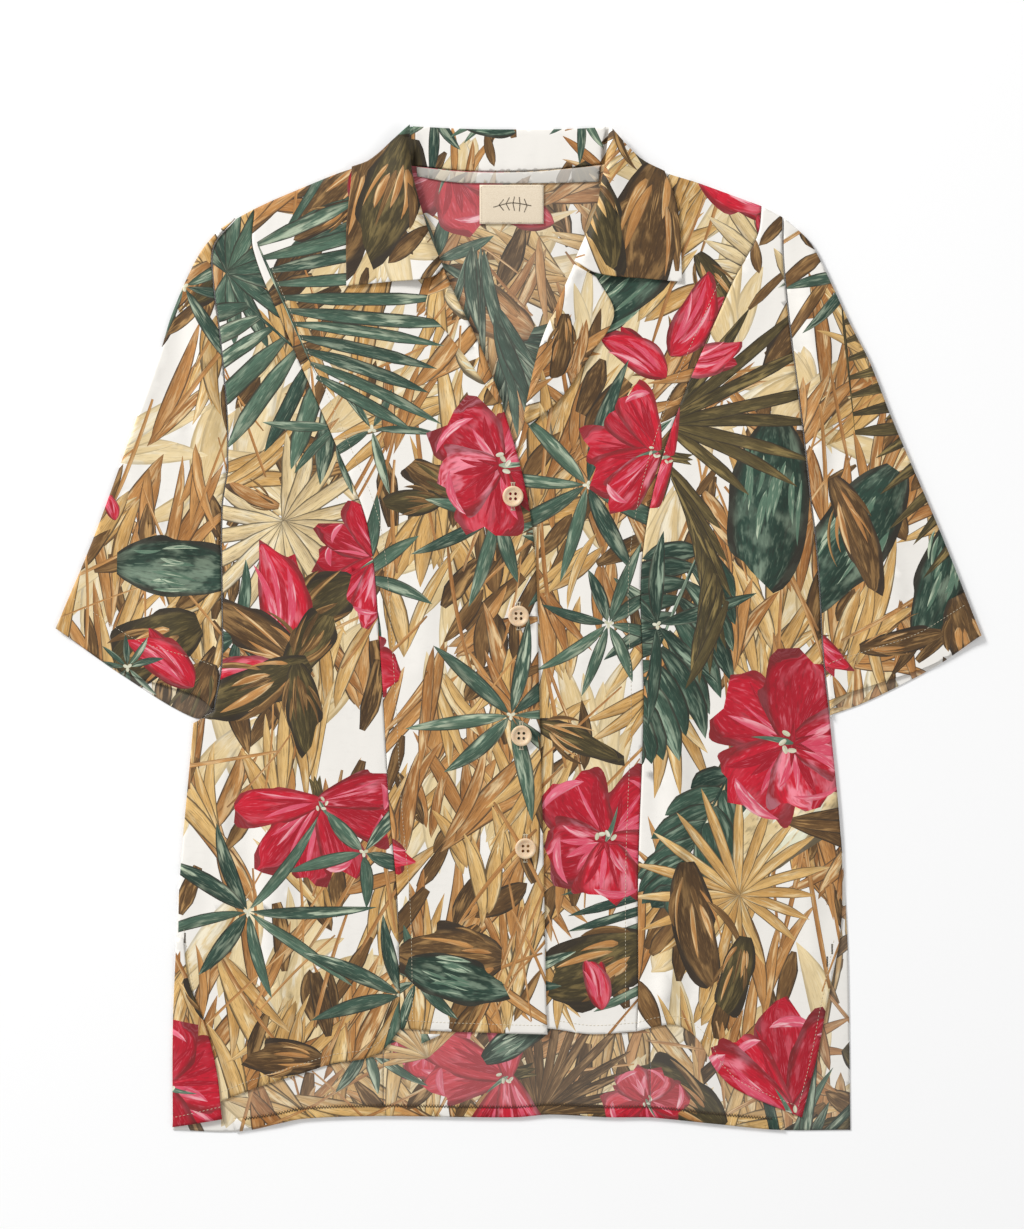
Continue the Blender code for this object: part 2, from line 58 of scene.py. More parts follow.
MM = 0.001
WALL = 1.0  # of the solids that the cloth follows
LAYER = 1.5
CLOTH = 0.4
LEFT = {
    "shoulder": [(-203, 295), (-190, 302)],
    "yoke": [(-190, 302), (-175, 309), (-131, 327), (-107, 335), (-88, 344)],
    "armhole": [(-203, 295), (-219, 275), (-219, 248), (-214, 208), (-209, 150), (-209, 113)],
    "underarm": [(-209, 113), (-213, 85), (-213, 21), (-213, -23), (-219, -59.5)],
    "sleeve end": [(-219, -59.5), (-234, -68)],
    "side": [(-234, -68), (-244, -181), (-245, -218)],
    "slit": [(-245, -218), (-240, -250), (-233, -285), (-225, -317), (-221, -343)],
    "back side": [(-234, -68), (-244, -181), (-247, -239), (-249, -291), (-249, -361)],
    "princess": [
        (-190, 302), (-191, 273), (-167, 213), (-131, 131), (-108, 71), (-99, -27), (-93, -129),
        (-87, -198), (-85, -288),
    ],
    "hem": [
        (-221, -343), (-187, -330), (-155, -320), (-133, -313), (-108, -309), (-96, -302),
        (-85, -288),
    ],
    "centre hem": [(-85, -288), (-52, -290), (21, -292)],
    "back princess": [(-190, 302), (-160, 240), (-128, 150), (-106, 50), (-98, -80), (-97, -351)],
    "back hem": [(-249, -361), (-199, -362), (-155, -353), (-97, -351)],
    "front edge": [
        (-88, 344), (-78, 321), (-66, 284), (-48, 239), (-28, 200), (-12, 161), (-5, 140),
        (5, 102), (12, 55), (15, -43), (18, -159), (20, -265), (21, -292),
    ],
    "sleeve fold": [
        (-203, 295), (-217, 285), (-231, 267), (-249, 227), (-258, 198), (-274, 153),
        (-305, 67), (-333, 0),
    ],
    "sleeve hem": [(-219, -59), (-231, -49), (-285, -31), (-333, 0)],
    "sleeve back hem": [(-219, -59), (-232, -65), (-285, -34), (-333, 0)],
    "roll": [(-78, 362), (-77, 333), (-70, 303), (-64, 284), (-54, 260)],
    "leaf top": [(-78, 362), (-89, 352), (-107, 337), (-120, 332)],
    "leaf outer": [(-120, 332), (-121, 317), (-124, 289), (-124, 246)],
    "leaf end": [(-54, 260), (-62, 252), (-93, 249), (-124, 246)],
    "lapel roll": [(-54, 259), (-45, 239), (-26, 200), (-11, 161)],
    "lapel outer": [(-62, 251), (-67, 229), (-56, 218), (-33, 188), (-15, 162)],
}
RIGHT = {
    "shoulder": [(175, 304), (190, 296)],
    "yoke": [(74, 346), (89, 335), (105, 328), (131, 320), (175, 304)],
    "armhole": [(190, 296), (190, 269), (195, 217), (201, 170), (207, 121), (210, 91)],
    "underarm": [(210, 91), (213, 69), (216, 33), (219, -19), (224, -64.5)],
    "side": [(224, -64.5), (232, -150), (233, -200), (231, -226)],
    "slit": [(231, -226), (225, -256), (221, -276), (215, -308), (204, -352)],
    "back side": [(224, -64.5), (233, -159), (237, -226), (238, -270), (239, -361)],
    "princess": [
        (175, 304), (172, 283), (153, 247), (108, 138), (89, 51), (90, -54), (86, -176),
        (86, -264), (85, -290),
    ],
    "hem": [
        (85, -290), (108, -285), (118, -287), (130, -297), (142, -318), (157, -332),
        (204, -352),
    ],
    "centre hem": [(-9, -288), (22, -288), (52, -292), (85, -290)],
    "back princess": [(175, 304), (150, 240), (120, 150), (101, 50), (95, -80), (95, -352)],
    "back hem": [(95, -352), (144, -357), (185, -361), (239, -361)],
    "front edge": [
        (74, 346), (62, 320), (59, 303), (42, 262), (32, 239), (17, 203), (9, 172), (0, 138),
        (-14, 118), (-24, 95), (-18, 55), (-15, -43), (-12, -159), (-10, -265), (-9, -288),
    ],
    "sleeve fold": [
        (190, 296), (208, 280), (216, 267), (239, 218), (252, 193), (269, 150), (304, 68),
        (333, -5),
    ],
    "sleeve hem": [(223, -63), (228, -51), (255, -41), (298, -26), (333, -5)],
    "sleeve back hem": [(223, -63), (250, -53), (301, -27), (333, -5)],
    "roll": [(65, 361.5), (62, 334), (59, 320), (56, 303), (40, 264)],
    "leaf top": [(65, 361.5), (77, 348), (89, 337), (105, 329)],
    "leaf outer": [(105, 329), (113, 309), (116, 290), (118, 249)],
    "leaf end": [(40, 264), (56, 255), (95, 251), (118, 249)],
    "lapel roll": [(40, 262), (30, 239), (15, 203), (3, 150)],
    "lapel outer": [(56, 253), (69, 226), (51, 195), (30, 165), (8, 146)],
}
COLLAR_FOLD = [(-78, 362), (-33, 360), (33, 360), (65, 361.5)]
NECK_SEAM = [(-77, 333), (-38, 329), (8, 329), (44, 332), (62, 334)]
BACK_HEM = [(-97, -351), (-3, -352), (22, -350), (66, -352), (95, -352)]

# Dyes of the print, each from its deepest to its palest wash
DYES = {
    "green": ("#284338", "#56735F", "#BCC9AE"),
    "pine": ("#1C352B", "#3A5747", "#94A891"),
    "ochre": ("#CB9A55", "#E2BA76", "#F3DFB2"),
    "tan": ("#A86F38", "#CB9354", "#EBCB98"),
    "brown": ("#4A361F", "#7A5831", "#BE945C"),
    "olive": ("#3D3620", "#5E512F", "#9A8551"),
    "sand": ("#DFC48F", "#EBD5A6", "#F5EACF"),
    "crimson": ("#A60A22", "#D0142F", "#F08A9A"),
    "pink": ("#D23C57", "#E66C83", "#F7BEC4"),
    "cream": ("#C9C7A8", "#E0DEC4", "#F4F2E2"),
}
GROUND = "#EFEBE4"


def linear(code):
    """A hexadecimal colour as the red, green and blue that the nodes take."""
    parts = [int(code[i : i + 2], 16) / 255 for i in (1, 3, 5)]
    return np.array([c / 12.92 if c <= 0.04045 else ((c + 0.055) / 1.055) ** 2.4 for c in parts])


def smoothstep(low, high, value):
    t = np.clip((value - low) / (high - low), 0, 1)
    return t * t * (3 - 2 * t)


def line(points, pace=4.0):
    """A smooth line through the points, with one of its own every few millimetres."""
    knots = np.array(points, float)
    knots = np.vstack([2 * knots[0] - knots[1], knots, 2 * knots[-1] - knots[-2]])
    dense = [knots[1]]
    for before, start, end, after in zip(knots, knots[1:], knots[2:], knots[3:]):
        span = np.linalg.norm(end - start)
        into = (end - before) * span / (span + np.linalg.norm(start - before))
        out = (after - start) * span / (span + np.linalg.norm(after - end))
        for t in np.linspace(0, 1, 13)[1:]:
            dense.append(
                start * (2 * t**3 - 3 * t**2 + 1)
                + into * (t**3 - 2 * t**2 + t)
                + end * (3 * t**2 - 2 * t**3)
                + out * (t**3 - t**2)
            )
    dense = np.array(dense)
    reach = np.concatenate([[0], np.cumsum(np.linalg.norm(np.diff(dense, axis=0), axis=1))])
    wanted = np.linspace(0, reach[-1], max(2, round(reach[-1] / pace) + 1))
    return np.stack([np.interp(wanted, reach, dense[:, k]) for k in (0, 1)], 1)


def back(points, pace=4.0):
    return line(points, pace)[::-1]


def ring(*runs):
    """Joins lines into one closed outline, counter-clockwise, and stops it just short of the seam."""
    points = np.vstack(runs)
    step = np.linalg.norm(points - np.roll(points, 1, axis=0), axis=1)
    points = points[step > 0.5]
    x, y = points.T
    if (x * np.roll(y, -1) - np.roll(x, -1) * y).sum() < 0:
        points = points[::-1]
    return drawn_in(points, 0.2)


def drawn_in(points, amount):
    along = np.roll(points, -1, axis=0) - np.roll(points, 1, axis=0)
    along /= np.linalg.norm(along, axis=1)[:, None] + 1e-9
    return points + np.stack([-along[:, 1], along[:, 0]], 1) * amount


def within(points, outline):
    """Which of the points lie inside the closed outline."""
    x, y = points[:, 0, None], points[:, 1, None]
    x0, y0 = outline.T
    x1, y1 = np.roll(x0, -1), np.roll(y0, -1)
    rise = np.where(y1 == y0, 1, y1 - y0)
    crosses = ((y0 > y) != (y1 > y)) & (x < (x1 - x0) * (y - y0) / rise + x0)
    return crosses.sum(1) % 2 == 1


def distance(points, run, closed=False):
    """How far each point is from a line."""
    ends = np.roll(run, -1, axis=0) if closed else run[1:]
    starts = run if closed else run[:-1]
    nearest = np.full(len(points), 1e9)
    for a, b in zip(starts, ends):
        along = b - a
        t = np.clip((points - a) @ along / max(along @ along, 1e-9), 0, 1)
        away = points - a - t[:, None] * along
        nearest = np.minimum(nearest, np.hypot(away[:, 0], away[:, 1]))
    return nearest


def round_of(side, *runs):
    """The outline made by a side's lines one after another; a minus sign turns one round."""
    return ring(*(back(side[run[1:]]) if run[0] == "-" else line(side[run]) for run in runs))


def put(name, data):
    """Adds an object to the scene."""
    made = bpy.data.objects.new(name, data)
    bpy.context.scene.collection.objects.link(made)
    return made


def surface(name, roughness):
    """A new material and its shader."""
    material = bpy.data.materials.new(name)
    material.use_nodes = True
    shader = material.node_tree.nodes["Principled BSDF"]
    shader.inputs["Roughness"].default_value = roughness
    return material, shader


# Half widths of the painted shapes from base to tip
FORMS = {
    "blade": lambda t: np.sin(math.pi * t**0.85) ** 0.8,
    "leaflet": lambda t: np.minimum(1, 0.35 + 2.4 * t) * np.minimum(1, (1 - t) * 3.2) ** 0.75,
    "petal": lambda t: (0.2 + 0.8 * np.sin(math.pi / 2 * t) ** 0.8) * np.sqrt(1 - 0.97 * t**6),
    "paddle": lambda t: np.sin(math.pi * (0.04 + 0.93 * t)) ** 0.5,
    "strap": lambda t: np.minimum(1, 0.55 + 3 * t) * (1 - 0.45 * t**3),
    "feather": lambda t: np.minimum(1, 0.3 + 2.2 * t) * (1 - 0.5 * t**3),
    "flame": lambda t: np.minimum(1, 0.25 + 4.5 * t) * (1 - t) ** 0.75,
}


def beyond(x, y, heading, along, aside=0.0):
    """The point so far along a heading in degrees, and so far to the left of it."""
    turned = math.radians(heading)
    return (
        x + along * math.cos(turned) - aside * math.sin(turned),
        y + along * math.sin(turned) + aside * math.cos(turned),
    )


class Brush:
    """One painted shape: a bent spine, a half width along it, and its dyes."""

    def __init__(self, x, y, heading, length, width, form, bend, dye, light, stripes, ink, ruffle, seed):
        steps = 7 if length < 40 else 10
        if ruffle:
            steps += 8
        t = np.linspace(0, 1, steps + 1)
        angle = np.radians(heading + bend * (t - 0.5))
        stride = length / steps
        forward = np.stack([np.cos(angle), np.sin(angle)], 1)
        spine = np.array([x, y]) + np.vstack([[0, 0], np.cumsum(forward[:-1] * stride, axis=0)])
        half = np.maximum(FORMS[form](t), 0.02) * width / 2
        square = np.stack([-forward[:, 1], forward[:, 0]], 1)
        left, right = spine + square * half[:, None], spine - square * half[:, None]
        outline = np.vstack([left, right[::-1]])
        if ruffle:
            away = outline - spine[0]
            turn = np.arctan2(away[:, 1], away[:, 0])
            reach = np.hypot(away[:, 0], away[:, 1]) / length
            wave = np.sin(turn * 9 + seed * 40) + 0.6 * np.sin(turn * 17 + seed * 90)
            wave = wave + 0.8 * np.sin(reach * 14 + seed * 60)
            outline = spine[0] + away * (1 + ruffle * wave * np.minimum(1, reach * 1.5))[:, None]
        keep = np.linalg.norm(outline - np.roll(outline, 1, axis=0), axis=1) > 0.15
        self.outline = outline[keep]
        self.low, self.high = outline.min(0), outline.max(0)
        self.spine, self.half = spine, half
        self.length, self.stripes, self.ink, self.seed = length, stripes, ink, seed
        self.dye, self.light = dye, light

    def local(self, points):
        """Along the shape from 0 to 1 and across it from -1 to 1, at each point."""
        nearest = np.full(len(points), 1e9)
        along, side = np.zeros(len(points)), np.zeros(len(points))
        count = len(self.spine) - 1
        for i in range(count):
            a, step = self.spine[i], self.spine[i + 1] - self.spine[i]
            t = np.clip((points - a) @ step / (step @ step), 0, 1)
            away = points - a - t[:, None] * step
            gap = np.hypot(away[:, 0], away[:, 1])
            closer = gap < nearest
            nearest = np.where(closer, gap, nearest)
            along = np.where(closer, (i + t) / count, along)
            side = np.where(closer, np.sign(step[0] * away[:, 1] - step[1] * away[:, 0]), side)
        half = np.interp(along, np.linspace(0, 1, count + 1), self.half)
        return along, side * nearest / (half + 0.25)


class Print:
    """The painted leaves and flowers of one panel, from the lowest to the topmost."""

    def __init__(self, seed):
        self.brushes = []
        self.chance = random.Random(seed)

    def between(self, low, high):
        return self.chance.uniform(low, high)

    def paint(
        self, x, y, heading, length, width, dye,
        form="blade", bend=0.0, stripes=2.0, ink=0.6, ruffle=0.0, depth=None, glow=1.0,
    ):
        deep, middle, pale = (linear(code) for code in DYES[dye])
        depth = self.between(0, 1) if depth is None else depth
        body = deep * (1 - depth) + middle * depth
        self.brushes.append(
            Brush(
                x, y, heading, length, width, form, bend,
                (*body, glow), (*pale, 1.0), stripes, ink, ruffle, self.between(0, 1),
            )
        )

    def fan(self, x, y, heading, size, dye="green", spread=150, count=13, width=0.075):
        """A fan palm leaf: long leaflets from one point."""
        order = sorted(range(count), key=lambda k: -abs(k - (count - 1) / 2))
        for k in order:
            share = k / (count - 1) - 0.5
            length = size * (1 - 0.3 * abs(2 * share) ** 1.6) * self.between(0.86, 1.06)
            self.paint(
                x, y, heading + spread * share + self.between(-1.5, 1.5), length, size * width, dye,
                "leaflet", share * 26 + self.between(-6, 6), 1.6, 1.0, glow=self.between(0.3, 1),
            )

    def comb(
        self, x, y, heading, size, dye="green", run=80, along=-60, swing=50, count=10, width=9.0,
    ):
        """Half a palm leaf: leaflets side by side from a stalk that runs another way."""
        for k in range(count):
            share = k / (count - 1)
            length = size * (0.72 + 1.1 * share * (1 - share)) * self.between(0.88, 1.08)
            self.paint(
                *beyond(x, y, along, run * share),
                heading + swing * (0.5 - share) + self.between(-1.5, 1.5), length,
                width * self.between(0.85, 1.1), dye, "leaflet",
                self.between(-7, 7) + 10 * (0.5 - share), 1.6, 1.0, glow=self.between(0.4, 1.1),
            )
        self.paint(x, y, along, run * 1.05, 2.6, dye, "flame", 0, 1, 0.8, depth=0)

    def star(self, x, y, turn, size, dye="green", count=8, width=0.15):
        """A spray of bamboo-like blades round a pale node."""
        for k in range(count):
            heading = turn + 360 * k / count + self.between(-11, 11)
            length = size * self.between(0.62, 1.05)
            self.paint(
                *beyond(x, y, heading, 2), heading, length,
                min(11, size * width) * self.between(0.8, 1.2), dye, "blade",
                self.between(-22, 22), 1.6, 0.9, glow=self.between(0.5, 1.2),
            )
        for heading in (30, 150, 265):
            self.paint(x, y, turn + heading, 3.4, 2.4, "cream", "paddle", ink=0.3)

    def paddle(self, x, y, heading, size, dye="pine", width=0.42):
        """A broad banana-like leaf with a lobed edge, painted over with light streaks along it."""
        bend = self.between(-12, 12)
        self.paint(x, y, heading, size, size * width, dye, "paddle", bend, 2, 1, 0.055, 0.3, 0.6)
        pale = "green" if dye == "pine" else "cream"
        for k in range(8):
            aside = size * width * (-0.34 + 0.68 * k / 7 + self.between(-0.03, 0.03))
            along = size * self.between(0.08, 0.42)
            self.paint(
                *beyond(x, y, heading, along, aside), heading + self.between(-9, 9),
                size * self.between(0.24, 0.5) * (1 - 0.5 * along / size),
                size * self.between(0.025, 0.05), pale, "blade", self.between(-30, 30), 1, 0.1,
                depth=1, glow=1.4,
            )

    def croton(self, x, y, heading, size, dye="brown", flame="tan", width=0.5):
        """A dark leaf with a wavy edge and long pale flames that run up it, side by side."""
        bend = self.between(-24, 24)
        self.paint(x, y, heading, size, size * width, dye, "paddle", bend, 3, 1, 0.07, 0.3, 0.5)
        for k in range(7):
            side = (k - 3) / 3
            along = size * self.between(0.05, 0.4)
            aside = side * size * width * 0.24
            self.paint(
                *beyond(x, y, heading, along, aside),
                heading + side * 16 + self.between(-5, 5), size * self.between(0.3, 0.56),
                size * width * self.between(0.08, 0.2), flame if k % 3 else "brown",
                "flame" if k % 2 else "blade", -side * self.between(20, 60), 2, 0.8, glow=1.0,
                depth=self.between(0.2, 1),
            )

    def frond(self, x, y, heading, size, dye="pine", pairs=9, width=0.075, angle=52):
        """A feather leaf: leaflets in pairs along a stalk."""
        for k in range(pairs):
            share = (k + 0.5) / pairs
            node = beyond(x, y, heading, share * size)
            length = size * 0.48 * math.sin(math.pi * (0.18 + 0.72 * share)) * self.between(0.85, 1.1)
            for side in (-1, 1):
                self.paint(
                    *node, heading + side * (angle - 24 * share), length, size * width, dye,
                    "leaflet", -side * self.between(10, 35), 2, 0.9, glow=self.between(0.4, 1.1),
                )
        self.paint(x, y, heading, size * 1.02, size * 0.022, dye, "flame", 3, 1, 0.8, depth=0)

    def petal(self, x, y, heading, length, wide, pink):
        """One ruffled petal: dark at its base, streaked, with a pink lip where it curls over."""
        self.paint(
            x, y, heading, length, wide, "crimson", "petal", self.between(-16, 16), 2.2, 0.62, 0.075,
            self.between(0.15, 1), 1.0 if pink else 0.25,
        )
        for k in range(4):
            aside = (k - 1.5) * wide / length * 17 + self.between(-3, 3)
            start = length * self.between(0.04, 0.2)
            pale = self.between(0, 1) < (0.6 if pink else 0.25)
            self.paint(
                *beyond(x, y, heading + aside, start), heading + aside,
                length * self.between(0.55, 0.72), wide * self.between(0.04, 0.14),
                "pink" if pale else "crimson", "blade", aside, 1, 0.1,
                depth=self.between(0, 0.6) if pale else 0, glow=0.7 if pale else 0,
            )
        if pink or self.between(0, 1) < 0.5:
            self.paint(
                *beyond(x, y, heading - 17, length * 0.8), heading + 92, wide * 0.62,
                length * self.between(0.08, 0.15), "pink", "blade", 62, 1, 0.3, 0.0,
                self.between(0.2, 1), 1.2,
            )

    def hibiscus(self, x, y, turn, size, spread=360, petals=5):
        """A crimson flower seen aslant, its far petals long and its near ones short and curled."""
        full = spread >= 300
        if not full:
            for side in (-14, 14, 0):
                self.paint(
                    x, y, turn + 180 + side, size * 0.3, size * 0.14, "olive", "flame", side, 2, 0.8,
                )
        shares = [k / petals if full else k / (petals - 1) - 0.5 for k in range(petals)]
        shares.sort(key=lambda share: -math.cos(math.radians(spread * share)))
        for place, share in enumerate(shares):
            heading = turn + spread * share + self.between(-9, 9)
            near = 0.5 - 0.5 * math.cos(math.radians(spread * share))
            length = size * ((0.66 - 0.2 * near) if full else 0.92) * self.between(0.9, 1.08)
            wide = length * (1.02 + 0.3 * near if full else 0.6) * self.between(0.9, 1.1)
            pink = place >= petals - (2 if full else 1)
            self.petal(x, y, heading, length, wide, pink)
        if full:
            for k in range(6):
                self.paint(
                    x, y, turn + k * 60 + self.between(-9, 9), size * 0.17, size * 0.05, "crimson",
                    "flame", 0, 1, 0.9, depth=0, glow=0,
                )
        self.paint(
            x, y, turn + 24, size * 0.3, size * 0.055, "green", "flame", 14, 1, 0.6, depth=1, glow=1.4,
        )
        for k in range(4):
            anther = beyond(x, y, turn + 24 + 40 * (k - 1.5), size * self.between(0.04, 0.1))
            self.paint(
                *anther, turn + 70 * k, size * 0.06, size * 0.035, "cream", "paddle", ink=0.7,
            )

    def bud(self, x, y, heading, size):
        """A closing flower: one full crimson petal round another, pink where the light falls."""
        for side, dye in ((18, "brown"), (-20, "olive")):
            self.paint(
                x, y, heading + side * 2, size * 0.45, size * 0.14, dye, "flame", side * 2, 2, 0.8,
            )
        for side, long, wide, bend, stripes, depth, glow in (
            (-13, 0.92, 0.4, -34, 3, 0.1, 0.3), (7, 1, 0.46, 38, 2.4, 0.9, 0.5),
        ):
            self.paint(
                x, y, heading + side, size * long, size * wide, "crimson", "blade", bend, stripes,
                0.7, 0.05, depth, glow,
            )
        for side, long, dye in (
            (20, 0.62, "pink"), (9, 0.74, "pink"), (1, 0.6, "crimson"), (-9, 0.56, "pink"),
        ):
            self.paint(
                *beyond(x, y, heading + side, size * self.between(0.12, 0.24)),
                heading + side * 0.6, size * long, size * self.between(0.04, 0.085), dye, "blade",
                30, 1, 0.1, depth=0.2, glow=0.7,
            )

    def tuft(self, x, y, heading, size, dye="ochre", blades=4, width=9.0, form="blade", spread=38):
        """A few blades from one root."""
        x, y = beyond(x, y, heading, -size * 0.45)
        for k in range(blades):
            share = k / (blades - 1) - 0.5 if blades > 1 else 0
            self.paint(
                x + self.between(-6, 6), y + self.between(-6, 6),
                heading + spread * share + self.between(-7, 7), size * self.between(0.65, 1.2),
                width * self.between(0.65, 1.25), dye, form, share * 46 + self.between(-16, 16),
                self.between(1.2, 2.2), 0.35 if dye == "sand" else 1.0, glow=self.between(0.3, 1.1),
            )

    def reeds(self, x0, y0, x1, y1, count, heading, swing, scale=1.0):
        """Undergrowth: pale washes at the back, ochre and tan blades, dark feathers, thin stems."""
        # dye, share of the blades, blades in a tuft, length, width, form
        kinds = (
            ("sand", 0.2, 4, 98, 20, "blade"), ("ochre", 0.28, 4, 90, 12.5, "blade"),
            ("tan", 0.26, 3, 78, 10.5, "blade"), ("brown", 0.1, 1, 46, 12, "feather"),
            ("brown", 0.07, 1, 44, 13, "blade"), ("tan", 0.09, 1, 104, 2.6, "strap"),
        )
        tufts = [[kind] * round(count * kind[1] / kind[2]) for kind in kinds]
        middle = sum(tufts[1:5], [])
        self.chance.shuffle(middle)
        for dye, _, blades, length, width, form in tufts[0] + middle + tufts[5]:
            turn = heading + self.chance.gauss(0, swing) + (180 if self.between(0, 1) < 0.3 else 0)
            size = self.between(0.7, 1.2) * scale
            self.tuft(
                self.between(x0, x1), self.between(y0, y1), turn, length * size, dye, blades,
                width * size, form,
            )

    def draw(self, rows):
        """Paints a table of motifs: the kind, x, y, heading and size, then anything more by name.

        Each motif drifts off its row's place, most by 15 to 40 mm and neighbours alike, and turns.
        """
        drift, jitter = 30, 9
        sway, twist = 26, 14
        for kind, x, y, heading, size, *more in rows:
            wave = math.sin(x / 57 + y / 83 + 0.9), math.sin(x / 71 - y / 49 + 2.3)
            x += drift * wave[0] + self.between(-jitter, jitter)
            y += drift * wave[1] + self.between(-jitter, jitter)
            heading += sway * wave[0] * wave[1] + self.between(-twist, twist)
            getattr(self, kind)(x, y, heading, size, **(more[0] if more else {}))


class Shade:
    """Wraps a socket of a material's nodes, so that its maths is written as Python's."""

    def __init__(self, tree, socket=None):
        self.tree, self.socket = tree, socket

    def node(self, kind, settings=None, values=None, output=0):
        made = self.tree.nodes.new(kind)
        for name, value in (settings or {}).items():
            setattr(made, name, value)
        for name, value in (values or {}).items():
            if isinstance(value, Shade):
                self.tree.links.new(value.socket, made.inputs[name])
            else:
                made.inputs[name].default_value = value
        return Shade(self.tree, made.outputs[output])

    def maths(self, operation, first, second):
        return self.node("ShaderNodeMath", {"operation": operation}, {0: first, 1: second})

    def __add__(self, other):
        return self.maths("ADD", self, other)

    def __mul__(self, other):
        return self.maths("MULTIPLY", self, other)

    __radd__ = __add__
    __rmul__ = __mul__

    def between(self, low, high):
        """0 below low, 1 above high, and a soft step from one to the other."""
        return self.node(
            "ShaderNodeMapRange", {"interpolation_type": "SMOOTHSTEP"},
            {"Value": self, "From Min": low, "From Max": high},
        )

    def colours(self, first, second, blend="MIX"):
        """Mixes two colours, with this value as the share of the second one."""
        settings = {"data_type": "RGBA", "blend_type": blend}
        return self.node("ShaderNodeMix", settings, {0: self, 6: first, 7: second}, 2)

    def scaled(self, by):
        return self.node("ShaderNodeVectorMath", {"operation": "MULTIPLY"}, {0: self, 1: by})

    def noise(self, scale, detail):
        values = {"Vector": self, "Scale": scale, "Detail": detail}
        return self.node("ShaderNodeTexNoise", {}, values)

    def feeds(self, shader, name):
        self.tree.links.new(self.socket, shader.inputs[name])


def dyed_cloth(name, faded=0.0, dimmed=1.0):
    """Viscose with the print's dyes. The wrong side has the same print, faded and greyer."""
    material, shader = surface(name, 0.6)
    tree = material.node_tree
    start = Shade(tree)
    dye = start.node("ShaderNodeAttribute", {"attribute_name": "dye"})
    glow = start.node("ShaderNodeAttribute", {"attribute_name": "dye"}, output=3)
    wash = start.node("ShaderNodeAttribute", {"attribute_name": "wash"})
    grain = start.node("ShaderNodeAttribute", {"attribute_name": "grain"}, output=1)
    place = start.node("ShaderNodeAttribute", {"attribute_name": "place"}, output=1)
    split = tree.nodes.new("ShaderNodeSeparateXYZ")
    tree.links.new(place.socket, split.inputs[0])
    along, aside, ink = (Shade(tree, split.outputs[k]) for k in range(3))
    across = aside.maths("ABSOLUTE", aside, 0.0)
    ink_brown = (0.03, 0.022, 0.015, 1)

    streaks = grain.scaled((0.9, 1.0, 9.0)).noise(1.15, 3.0)
    fine = grain.scaled((1.6, 4.2, 9.0)).noise(1.6, 2.0)
    patch = grain.scaled((0.7, 0.35, 9.0)).noise(1.0, 1.0)
    light = streaks.between(0.47, 0.62) * glow * patch.between(0.34, 0.6)
    colour = light.colours(dye, wash)
    colour = (fine.between(0.56, 0.72) * 0.32).colours(colour, wash)
    colour = (fine.between(0.5, 0.3) * ink * 0.42).colours(colour, (0.02, 0.016, 0.012, 1))
    shaded = aside.between(-0.15, 0.3) * ink
    colour = (shaded * 0.55).colours(colour, (0.62, 0.58, 0.55, 1), "MULTIPLY")
    rim = across.between(0.68, 0.9) * ink
    colour = (rim * 0.85).colours(colour, ink_brown)
    root = along.between(0.14, 0.0) * ink
    colour = (root * 0.35).colours(colour, ink_brown)
    if faded:
        colour = start.node(
            "ShaderNodeHueSaturation", {}, {"Saturation": 0.9, "Value": dimmed, "Color": colour}
        )
        values = {0: faded, 6: colour, 7: (*(linear("#DAD5CC") * dimmed), 1)}
        colour = start.node("ShaderNodeMix", {"data_type": "RGBA"}, values, 2)
    colour.feeds(shader, "Base Color")

    spot = start.node("ShaderNodeTexCoord", output=3)
    weave = spot.scaled((1, 1, 0.2)).noise(2600.0, 1.0)
    crease = spot.scaled((1, 0.4, 1)).noise(30.0, 2.0)
    relief = weave * 0.00006 + crease * 0.0024
    bump = start.node("ShaderNodeBump", {}, {"Height": relief, "Distance": 1.0, "Strength": 0.55})
    bump.feeds(shader, "Normal")
    (weave * 0.14 + 0.56).feeds(shader, "Roughness")
    shader.inputs["Specular IOR Level"].default_value = 0.35
    shader.inputs["Sheen Weight"].default_value = 0.12
    shader.inputs["Sheen Roughness"].default_value = 0.4
    return material


right_side = dyed_cloth("printed viscose, right side")
wrong_side = dyed_cloth("printed viscose, wrong side", faded=0.05, dimmed=0.97)


def shown_edges(brushes, outline):
    """The outlines of the shapes, without what lies off the panel or under a later shape."""
    low, high = outline.min(0) - 1, outline.max(0) + 1
    brushes = [b for b in brushes if (b.low < high).all() and (b.high > low).all()]
    lows, highs = np.array([b.low for b in brushes]), np.array([b.high for b in brushes])
    points, edges = [], []
    total = 0
    for i, brush in enumerate(brushes):
        own = brush.outline
        count = len(own)
        after = (np.arange(count) + 1) % count
        middle = (own + own[after]) / 2
        off = ((own < low) | (own > high)).any(1)
        hidden = off & off[after]
        later = np.nonzero(
            (lows[i + 1 :] < brush.high).all(1) & (highs[i + 1 :] > brush.low).all(1)
        )[0] + i + 1
        for j in later:
            covered = within(np.vstack([own, middle]), brushes[j].outline)
            hidden |= covered[:count] & covered[after] & covered[count:]
        used = np.nonzero(~hidden)[0]
        if not len(used):
            continue
        points.append(own)
        edges.append(np.stack([used, after[used]], 1) + total)
        total += count
    return brushes, (np.vstack(points), np.vstack(edges)) if points else (None, None)


